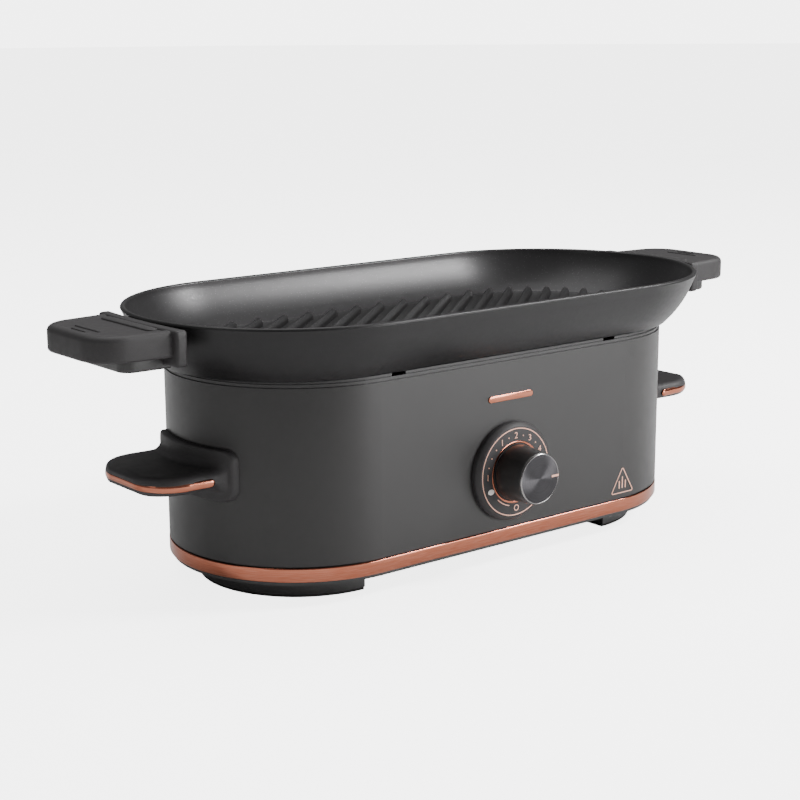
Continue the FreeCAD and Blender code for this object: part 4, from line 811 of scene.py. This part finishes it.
# %% [markdown]
# The carry handles are one moulding each: a plate that follows the housing's round end, and a
# shelf that grows out of it through a wide hollow fillet. A loft up the shelf's thickness can't
# make that fillet, so the handle is skinned the other way, outwards: each ring is a closed
# rounded loop across the handle, large and plate-shaped at the housing, then quickly shrinking to
# the shelf's section and following its D-shaped plan to the tip.

# %% Carry handle: rings from the housing out to the tip
plate_low, plate_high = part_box("carry_handle_left")
shelf_reach = -plate_low.x
plate_half = 39 * MM
plate_foot = plate_low.z
plate_top = plate_high.z - 1 * MM
shelf_foot = 69.0 * MM
shelf_top = 80.2 * MM
tip_round = 24 * MM
tip_flat = 12 * MM


def rounded_loop(half, low, high, corner, steps=8):
    """A rounded rectangle across the handle, as (y, z), always with the same number of points."""
    corner = min(corner, half * 0.98, (high - low) / 2 * 0.98)
    loop = []
    for cy, cz, start in ((half - corner, high - corner, 0), (-half + corner, high - corner, 1),
                          (-half + corner, low + corner, 2), (half - corner, low + corner, 3)):
        loop += [Vector((cy + corner * math.cos(math.pi / 2 * (start + k / steps)),
                         cz + corner * math.sin(math.pi / 2 * (start + k / steps))))
                 for k in range(steps + 1)]
    filled = []
    for k, p in enumerate(loop):
        filled.append(p)
        if (k + 1) % (steps + 1) == 0:
            filled += [p.lerp(loop[(k + 1) % len(loop)], m / 12) for m in range(1, 12)]
    return filled


def shelf_half(x):
    """Half the width of the shelf's plan at a distance out from the middle of the object."""
    root = base_span + 60 * MM
    root_half = 38 * MM
    tip = shelf_reach - tip_round
    if x <= tip:
        return root_half + (tip_flat + tip_round - root_half) * (x - root) / (tip - root)
    return tip_flat + math.sqrt(max(0.0, tip_round ** 2 - (x - tip) ** 2))


print("shelf half width at the housing", round(shelf_half(179 * MM) / MM, 1), "mm")


# %% Carry handle: skin the loops
def bent_ring(distance, half, low, high, corner, on_wall):
    """A loop at a distance from the housing's end centre: on a cylinder (on_wall 1) or flat (0)."""
    ring = []
    for p in rounded_loop(half, low, high, corner):
        flat_x = distance
        round_x = math.sqrt(max(0.0, distance ** 2 - p.x ** 2))
        out = round_x * on_wall + flat_x * (1 - on_wall)
        ring.append(Vector((-base_span - out, mid_y + p.x, p.y)))
    return ring


shell_reach = base_radius
face = shell_reach + 4 * MM
rings = [bent_ring(shell_reach - 0.8 * MM, plate_half, plate_foot, plate_top, 7 * MM, 1)]
for back, inset, corner in ((1.3, 0, 7), (0.5, 0.3, 6.8), (0.1, 0.9, 6.4), (0, 1.8, 6)):
    rings.append(bent_ring(face - back * MM, plate_half - inset * MM, plate_foot + inset * MM,
                           plate_top - inset * MM, corner * MM, 1))
hollow_steps = 12
hollow_reach = 5.5 * MM
hollow_inset = 2.4 * MM
shelf_inset = 1.2 * MM
plate_corner = 6 * MM
edge_round = 5.2 * MM
for k in range(1, hollow_steps + 1):
    turn_in = math.pi / 2 * k / hollow_steps
    share = math.sin(turn_in)
    out = face + hollow_reach * (1 - math.cos(turn_in))
    half = (plate_half - hollow_inset) * (1 - share)
    half += (shelf_half(base_span + out) - shelf_inset) * share
    low = (shelf_foot - hollow_reach) * (1 - share) + shelf_foot * share
    high = (shelf_top + hollow_reach) * (1 - share) + shelf_top * share
    corner = plate_corner * (1 - share) + edge_round * share
    rings.append(bent_ring(out, half, low, high, corner, 1))
shelf_steps = 40
tip_end = shelf_reach - 0.05 * MM
start_x = base_span + face + hollow_reach
tip_pinch = 3.0 * MM
flat_after = 16
inset_steps = 8
for k in range(1, shelf_steps + 1):
    share = math.sin(math.pi / 2 * k / shelf_steps)
    x = start_x + (tip_end - start_x) * share
    near_tip = max(0.0, (x - (shelf_reach - edge_round)) / edge_round)
    pinch = (1 - math.sqrt(max(0.0, 1 - near_tip ** 2))) * tip_pinch
    on_wall = (1 - min(1.0, k / flat_after)) ** 2
    half = shelf_half(x) - 0.02 * MM - shelf_inset * max(0.0, 1 - k / inset_steps)
    rings.append(bent_ring(x - base_span, max(half, 3 * MM), shelf_foot + pinch, shelf_top - pinch,
                           edge_round, on_wall))
both_ends("carry_shelf", rings, grey_abs, "base", "grey_plastic", "carry_handle", 50)
print("carry handle skinned with", len(rings), "rings")

# %% [markdown]
# A rose-gold strip is let into the edge of each shelf. It runs from one side round the tip to the
# other and ends in half circles. It follows a path, so the tree that made the ribs sweeps a slim
# oval along the shelf's outline and rounds off both ends.

# %% Strip path round the shelf
strip_foot = 71.6 * MM
strip_high = 76.5 * MM
strip_middle = (strip_foot + strip_high) / 2
strip_start = base_span + 84 * MM
strip_sink = 0.75 * MM
side_length = shelf_reach - tip_round - strip_start
right_side = [Vector((x, shelf_half(x) - strip_sink))
              for x in [strip_start + side_length * k / 20 for k in range(20)]]
corner_turn = [Vector((shelf_reach - tip_round + (tip_round - strip_sink) * math.sin(a),
                       tip_flat + (tip_round - strip_sink) * math.cos(a)))
               for a in [math.pi / 2 * k / 16 for k in range(17)]]
half_path = right_side + corner_turn
path = [(-p.x, mid_y + p.y, strip_middle) for p in half_path]
path += [(strip_sink - shelf_reach, mid_y + tip_flat * (1 - 2 * k / 8), strip_middle)
         for k in range(1, 8)]
path += [(-p.x, mid_y - p.y, strip_middle) for p in half_path[::-1]]

# %% Geometry Nodes: sweep the strip
strip_sizes = {"Half width": 0.95 * MM, "Half height": (strip_high - strip_foot) / 2,
               "End taper": 2.4 * MM, "Spacing": 0.6 * MM}
strip_tree = sweep_tree("strip_along_shelf", strip_sizes, rose_gold, 24, 0.1)
path_edges = [(k, k + 1) for k in range(len(path) - 1)]
for side, sign in (("left", 1), ("right", -1)):
    placed = [(sign * x, mid_y + sign * (y - mid_y), z) for x, y, z in path]
    holder = lines_holder(f"strip_path_{side}", placed, path_edges)
    strip = run_tree(holder, strip_tree, strip_sizes, f"carry_strip_{side}", rose_gold, "base",
                     "rose_gold", 60)
    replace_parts(strip, f"carry_handle_trim_{side}")
print("strips swept,", len(strip.data.polygons), "faces each")

# %% [markdown]
# The base. The rose-gold band at its foot is a separate polished strip on the real object, a little
# proud of the paint. Small rounded edges catch a thin dark line above and below it, so the band is
# its own loft. The housing and the collar keep the frame's shapes and only get their finishes.

# %% Rose-gold band at the foot of the housing
trim_low, trim_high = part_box("trim_band")
band_reach = trim_high.x - base_span
band_foot = trim_low.z + 0.1 * MM
band_depth = 1.5 * MM
soft = 0.7 * MM
layers = [(band_foot, -band_depth)] + rounded_corner(-soft, band_foot + soft, soft, -1, 4)
layers += rounded_corner(-soft, trim_high.z - soft, soft, 0, 4) + [(trim_high.z, -band_depth)]
layers = [(z, grow + band_reach - base_radius) for z, grow in layers]
shell_plan = [(-base_span, 0, base_radius), (base_span, 0, base_radius)]
band_loops = stack(shell_plan, layers, mid_y, arc_steps=64, line_steps=8)
trim_piece = new_piece("trim_band_polished", *loft(band_loops, True), rose_gold, "base",
                       "rose_gold", 50)
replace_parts(trim_piece, "trim_band")
print("band stands", round((band_reach - base_radius) / MM, 2), "mm proud")

# %% Collar: the black seat under the pan, with its raised lip in segments
dress("top_collar", black_plastic)

# %% [markdown]
# The dial. A round plate stands out of the housing with a chamfered edge, carries a thin printed
# ring and a thicker polished one, and has marks printed round the knob. The plate and the knob are
# turned shapes: a profile carried round a level axis.

# %% Dial plate
dial_low, dial_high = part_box("dial_plate")
axis = Vector((0, 0, (dial_low.z + dial_high.z) / 2))
dial_radius = (dial_high.z - dial_low.z) / 2
face_y = dial_low.y
wall_y = mid_y - base_radius


def turned_piece(name, profile, made, body, slot, closed=False):
    """A piece turned about the dial's axis, which is the knob's too."""
    return new_piece(name, *loft(turned(profile, axis), closed), made, body, slot, 35)


chamfer = 2.4 * MM
dial_profile = [(wall_y + 0.2 * MM, dial_radius), (face_y + chamfer + 0.6 * MM, dial_radius),
                (face_y + chamfer, dial_radius - 0.15 * MM),
                (face_y + 0.4 * MM, dial_radius - chamfer + 0.25 * MM),
                (face_y + 0.1 * MM, dial_radius - chamfer - 0.15 * MM),
                (face_y, dial_radius - chamfer - 0.6 * MM),
                (face_y, 5.5 * MM)]
plate = turned_piece("dial_face", dial_profile, grey_abs, "base", "grey_plastic")
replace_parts(plate, "dial_plate")

# %% Rings on the dial
def flat_ring(name, inner, outer, proud, made, body, slot):
    """A low ring on the dial's face with a softened outer edge."""
    back = face_y + 0.2 * MM
    front = face_y - proud
    bevel = 0.08 * MM
    step = front + 0.05 * MM
    profile = [(back, inner), (step, inner), (front, inner + bevel), (front, outer - bevel),
               (step, outer), (back, outer)]
    return turned_piece(name, profile, made, body, slot, closed=True)


outer_ring = flat_ring("dial_ring_printed", 26.6 * MM, 27.2 * MM, 0.08 * MM, gold_ink, "base",
                       "print")
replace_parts(outer_ring, "dial_outer_ring")
inner_ring = flat_ring("dial_ring_polished", 18.0 * MM, 19.3 * MM, 0.25 * MM, rose_gold, "base",
                       "rose_gold")
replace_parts(inner_ring, "dial_inner_ring")
print("dial radius", round(dial_radius / MM, 1), "mm, face at y", round(face_y / MM, 1))

# %% [markdown]
# Marks on the dial: heat numbers 1 to 5, dots between them, and a bar and a ring for on and off.
# The numbers are Blender's own font, turned to mesh. The dots repeat, so Geometry Nodes put one
# small disc on every point of an arc. All of it is ink, so it stands only a few hundredths out.

# %% Numbers
ink_front = face_y - 0.06 * MM
mark_radius = 22.6 * MM


def on_dial(angle, radius):
    """A place on the dial's face: anticlockwise from the right, as seen from the front."""
    turn_by = math.radians(angle)
    return Vector((axis.x + radius * math.cos(turn_by), ink_front,
                   axis.z + radius * math.sin(turn_by)))


def printed(name, text, angle, radius, size):
    """One printed sign as a plain mesh at the origin."""
    curve = bpy.data.curves.new(name, "FONT")
    curve.body = text
    curve.size = size
    curve.align_x = "CENTER"
    curve.align_y = "CENTER"
    curve.extrude = 0.03 * MM
    holder = place_object(name, curve)
    ready = bpy.context.evaluated_depsgraph_get()
    mesh = bpy.data.meshes.new_from_object(holder.evaluated_get(ready))
    spot = on_dial(angle, radius)
    vertices = [(spot.x + v.co.x, spot.y - v.co.z, spot.z + v.co.y) for v in mesh.vertices]
    faces = [tuple(p.vertices) for p in mesh.polygons]
    bpy.data.objects.remove(holder)
    return new_piece(name, vertices, faces, gold_ink, "base", "print")


for number, angle in ((1, 120), (2, 90), (3, 60), (4, 30), (5, 0)):
    printed(f"dial_number_{number}", str(number), angle, mark_radius, 5.6 * MM)
print("numbers printed at", round(mark_radius / MM, 1), "mm")

# %% Dots by Geometry Nodes
dot_sizes = {"Dot radius": 0.42 * MM, "Ink thickness": 0.06 * MM}
dot_angles = (15, 45, 75, 105, 135, 150, 165)
dot_places = [tuple(on_dial(angle, mark_radius)) for angle in dot_angles]
dot_holder = lines_holder("dot_places", dot_places, [])
tree, given, result = new_tree("dots_on_dial", dot_sizes)
points = add(tree, "GeometryNodeMeshToPoints", None, Mesh=given.outputs["Geometry"])
disc = add(tree, "GeometryNodeMeshCylinder", {"Vertices": 20}, Radius=given.outputs["Dot radius"],
           Depth=given.outputs["Ink thickness"])
placed = add(tree, "GeometryNodeInstanceOnPoints", {"Rotation": (math.pi / 2, 0, 0)},
             Points=points.outputs["Points"], Instance=disc.outputs["Mesh"])
real = add(tree, "GeometryNodeRealizeInstances", None, Geometry=placed.outputs["Instances"])
finish = add(tree, "GeometryNodeSetMaterial", {"Material": gold_ink},
             Geometry=real.outputs["Geometry"])
tree.links.new(finish.outputs["Geometry"], result.inputs["Geometry"])
dots = run_tree(dot_holder, tree, dot_sizes, "dial_dots", gold_ink, "base", "print")
print(len(dots.data.polygons), "faces of dots")


# %% Bar, ring and arc
def arc_mark(name, radius, width, start, end, steps, centre=None):
    """A flat printed arc about the dial's axis, or about a point of the dial."""
    middle = centre or axis
    low = radius - width / 2
    high = radius + width / 2
    section = ((low, face_y), (high, face_y), (high, ink_front), (low, ink_front))
    rings = []
    for k in range(steps + 1):
        angle = math.radians(start + (end - start) * k / steps)
        way = Vector((math.cos(angle), 0, math.sin(angle)))
        rings.append([Vector((middle.x, 0, middle.z)) + way * reach + Vector((0, y, 0))
                      for reach, y in section])
    closed = abs(end - start) >= 360
    return new_piece(name, *loft(rings[:-1] if closed else rings, closed), gold_ink, "base",
                     "print")


arc_mark("dial_keep_warm_arc", 20.9 * MM, 0.6 * MM, 226, 256, 24)
off_place = on_dial(272, mark_radius)
arc_mark("dial_off_ring", 1.7 * MM, 0.55 * MM, 0, 360, 40, off_place)
on_place = on_dial(180, mark_radius)
bar_half = 1.9 * MM
bar_wide = 0.3 * MM
section = ((-bar_wide, face_y), (bar_wide, face_y), (bar_wide, ink_front), (-bar_wide, ink_front))
bar = [[Vector((on_place.x + x, y, on_place.z + z)) for x, y in section]
       for z in (-bar_half, bar_half)]
new_piece("dial_on_bar", *loft(bar), gold_ink, "base", "print")
print("bar, ring and arc printed")

# %% Indicator window: a small opal oval that stands a little out of the dial
lens_low, lens_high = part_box("indicator_lens")
lens_middle = (lens_low + lens_high) / 2
lens_half = Vector((2.4 * MM, 0, 1.8 * MM))
lens_layers = ((-0.4, 1), (0.15, 1), (0.35, 0.93), (0.45, 0.8), (0.5, 0.5), (0.52, 0.05))
lens_steps = 40
lens_rings = [[Vector((lens_middle.x + lens_half.x * share * math.cos(a), face_y - proud * MM,
                       lens_middle.z + lens_half.z * share * math.sin(a)))
               for a in [2 * math.pi * k / lens_steps for k in range(lens_steps)]]
              for proud, share in lens_layers]
lens = new_piece("indicator_window", *loft(lens_rings), lamp_plastic, "base", "indicator_glass", 60)
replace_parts(lens, "indicator_lens")
dress("indicator_lamp", lamp_plastic)

# %% [markdown]
# The knob is a black drum with a spun aluminium cap. Spinning leaves fine circular grooves, and
# they stretch each highlight into two bright wedges that meet at the centre. Cycles does that
# with an anisotropic shader whose tangent runs round the axis. The cap's rim is cut bright.

# %% Spun aluminium with a radial tangent
spun_aluminium, tree, shader, place = material("spun_aluminium_dark", {
    "Metallic": 1.0, "Roughness": 0.35, "Anisotropic": 0.92})
middle = add(tree, "ShaderNodeVectorMath", {"operation": "SUBTRACT", 1: (axis.x, 0.0, axis.z)},
             _0=place)
parts_of = add(tree, "ShaderNodeSeparateXYZ", None, Vector=middle.outputs["Vector"])
flat = add(tree, "ShaderNodeCombineXYZ", None, X=parts_of.outputs["X"], Z=parts_of.outputs["Z"])
away = add(tree, "ShaderNodeVectorMath", {"operation": "LENGTH"}, _0=flat.outputs["Vector"])
grooves = add(tree, "ShaderNodeTexNoise",
              {"noise_dimensions": "1D", "Scale": 1 / (0.25 * MM), "Detail": 2.0},
              W=away.outputs["Value"])
tint(tree, shader, grooves.outputs["Fac"], "#323133", "#4C4B4D")
vary(tree, shader, "Roughness", grooves.outputs["Fac"], 0.3, 0.4)
round_way = add(tree, "ShaderNodeVectorMath", {"operation": "CROSS_PRODUCT", 1: (0.0, 1.0, 0.0)},
                _0=flat.outputs["Vector"])
tree.links.new(round_way.outputs["Vector"], shader.inputs["Tangent"])
bright_rim = plain("diamond_cut_aluminium", "#8A8888", "#9C9A9A", 0.22, 1 * MM, metal=True)

# %% Knob drum, cap, rim and pointer
knob_low, knob_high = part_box("knob_body")
knob_back = knob_high.y
knob_front = knob_low.y
cap_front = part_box("knob_cap")[0].y
base_round = (knob_high.z - knob_low.z) / 2
face_round = 16 * MM
soft = 0.8 * MM
drum = turned_piece("knob_drum", [
    (knob_back, 4 * MM), (knob_back, base_round - soft),
    (knob_back - 0.25 * MM, base_round - 0.25 * MM), (knob_back - soft, base_round),
    (knob_back - 6 * MM, base_round - 0.35 * MM), (knob_front + soft, face_round),
    (knob_front + 0.25 * MM, face_round - 0.2 * MM), (knob_front, face_round - soft),
    (knob_front, 4 * MM)], black_plastic, "knob", "black_plastic")
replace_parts(drum, "knob_body")
cap_round = face_round - 0.5 * MM
cap_side = cap_round - 0.7 * MM
cap_radii = (cap_round - 1.2 * MM, 8 * MM, 3 * MM, 0.6 * MM)
cap_profile = [(knob_front + 0.1 * MM, cap_side), (cap_front + 0.12 * MM, cap_side)]
cap_profile += [(cap_front + 0.04 * MM, radius) for radius in cap_radii]
cap = turned_piece("knob_spun_cap", cap_profile, spun_aluminium, "knob", "spun_aluminium")
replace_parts(cap, "knob_cap")
rim_seat = knob_front + 0.05 * MM
rim_inner = cap_round - 0.8 * MM
turned_piece("knob_bright_rim", [
    (rim_seat, cap_round), (cap_front + 0.5 * MM, cap_round),
    (cap_front + 0.1 * MM, cap_round - 0.35 * MM), (cap_front, cap_round - 0.5 * MM),
    (cap_front + 0.12 * MM, rim_inner), (rim_seat, rim_inner)],
    bright_rim, "knob", "spun_aluminium", closed=True)
pointer_low, pointer_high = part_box("knob_pointer")
pointer_half = (pointer_high.z - pointer_low.z) / 2
pointer_z = (pointer_low.z + pointer_high.z) / 2
pointer_back = cap_front + 0.3 * MM
section = ((pointer_back, -pointer_half), (pointer_back, pointer_half),
           (cap_front, pointer_half), (cap_front, -pointer_half))
pointer_rings = [[Vector((x, y, pointer_z + z)) for y, z in section]
                 for x in (pointer_low.x, pointer_high.x)]
pointer = new_piece("knob_pointer_line", *loft(pointer_rings), gold_ink, "knob", "print")
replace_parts(pointer, "knob_pointer")
print("knob from", round(knob_back / MM, 1), "to", round(cap_front / MM, 1), "mm")

# %% [markdown]
# Two small marks sit on the front: a slim plain rose-gold badge, rounded at both ends, and a
# triangle with three bars above the foot that says the surface gets hot.

# %% Badge
badge_low, badge_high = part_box("badge")
badge_z = (badge_low.z + badge_high.z) / 2
badge_half = (badge_high.z - badge_low.z) / 2
badge_ends = [(badge_low.x + badge_half, 0, badge_half), (badge_high.x - badge_half, 0, badge_half)]
badge_layers = [(badge_high.y + 0.2 * MM, 0.0), (badge_low.y + 0.25 * MM, 0.0),
                (badge_low.y + 0.07 * MM, -0.1 * MM), (badge_low.y, -0.3 * MM)]
badge_rings = [[Vector((p.x, y, badge_z + p.y)) for p in band(badge_ends, grow, 16)]
               for y, grow in badge_layers]
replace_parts(new_piece("badge_plain", *loft(badge_rings), rose_gold, "base", "rose_gold", 50),
            "badge")

# %% Triangle and bars
ink_line = 0.6 * MM
bar_round = 0.42 * MM
bars = (("left", -2.8, 3.6, 8.0), ("middle", 0.0, 3.6, 10.6), ("right", 2.8, 3.6, 8.0))  # in mm
mark_low, mark_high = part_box("heat_pictogram")
mark_middle = (mark_low.x + mark_high.x) / 2
mark_front = mark_low.y + 0.05 * MM
mark_back = wall_y + 0.15 * MM


def triangle(grow):
    """A triangle with rounded corners, as a band round three small circles."""
    small = 1.2 * MM
    return band([(mark_low.x + 2.1 * MM, mark_low.z + small, small),
                 (mark_high.x - 2.1 * MM, mark_low.z + small, small),
                 (mark_middle, mark_high.z - 2.6 * MM, small)], grow, 8)


section = ((mark_back, 0.0), (mark_front, 0.0), (mark_front, -ink_line), (mark_back, -ink_line))
frame_rings = [[Vector((p.x, y, p.y)) for p in triangle(grow)] for y, grow in section]
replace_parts(new_piece("heat_triangle", *loft(frame_rings, True), gold_ink, "base", "print"),
            "heat_pictogram")
for name, x, foot, top in bars:
    ends = [(mark_middle + x * MM, mark_low.z + z * MM, bar_round) for z in (foot, top)]
    rings = [[Vector((p.x, y, p.y)) for p in band(ends, 0.0, 8)] for y in (mark_back, mark_front)]
    new_piece(f"heat_bar_{name}", *loft(rings), gold_ink, "base", "print")
print("marks placed")

# %% Finishes for the frame's other pieces
finishes = {
    painted_steel: ["housing_shell"],
    black_plastic: ["base_cover", "thermostat_body", "inlet_body"],
    foot_rubber: ["foot_pad_left", "foot_pad_right"],
    cast_aluminium: ["heating_plate"],
    zinc_steel: ["base_screws", "heating_element", "element_terminals", "heat_reflector",
                 "plate_standoffs", "plate_screws", "sensor_bulb", "sensor_clips", "thermal_fuse",
                 "fuse_clip", "thermostat_bracket", "thermostat_screws", "thermostat_spindle",
                 "inlet_screws", "carry_handle_screws", "pan_handle_screws"],
    brass: ["inlet_pins", "capillary"],
    glass_braid: ["live_lead", "neutral_lead", "heater_lead", "lamp_lead"],
    earth_sleeve: ["earth_lead"],
}
for made, names in finishes.items():
    for name in names:
        dress(name, made)
print(sum(len(names) for names in finishes.values()), "frame pieces finished")
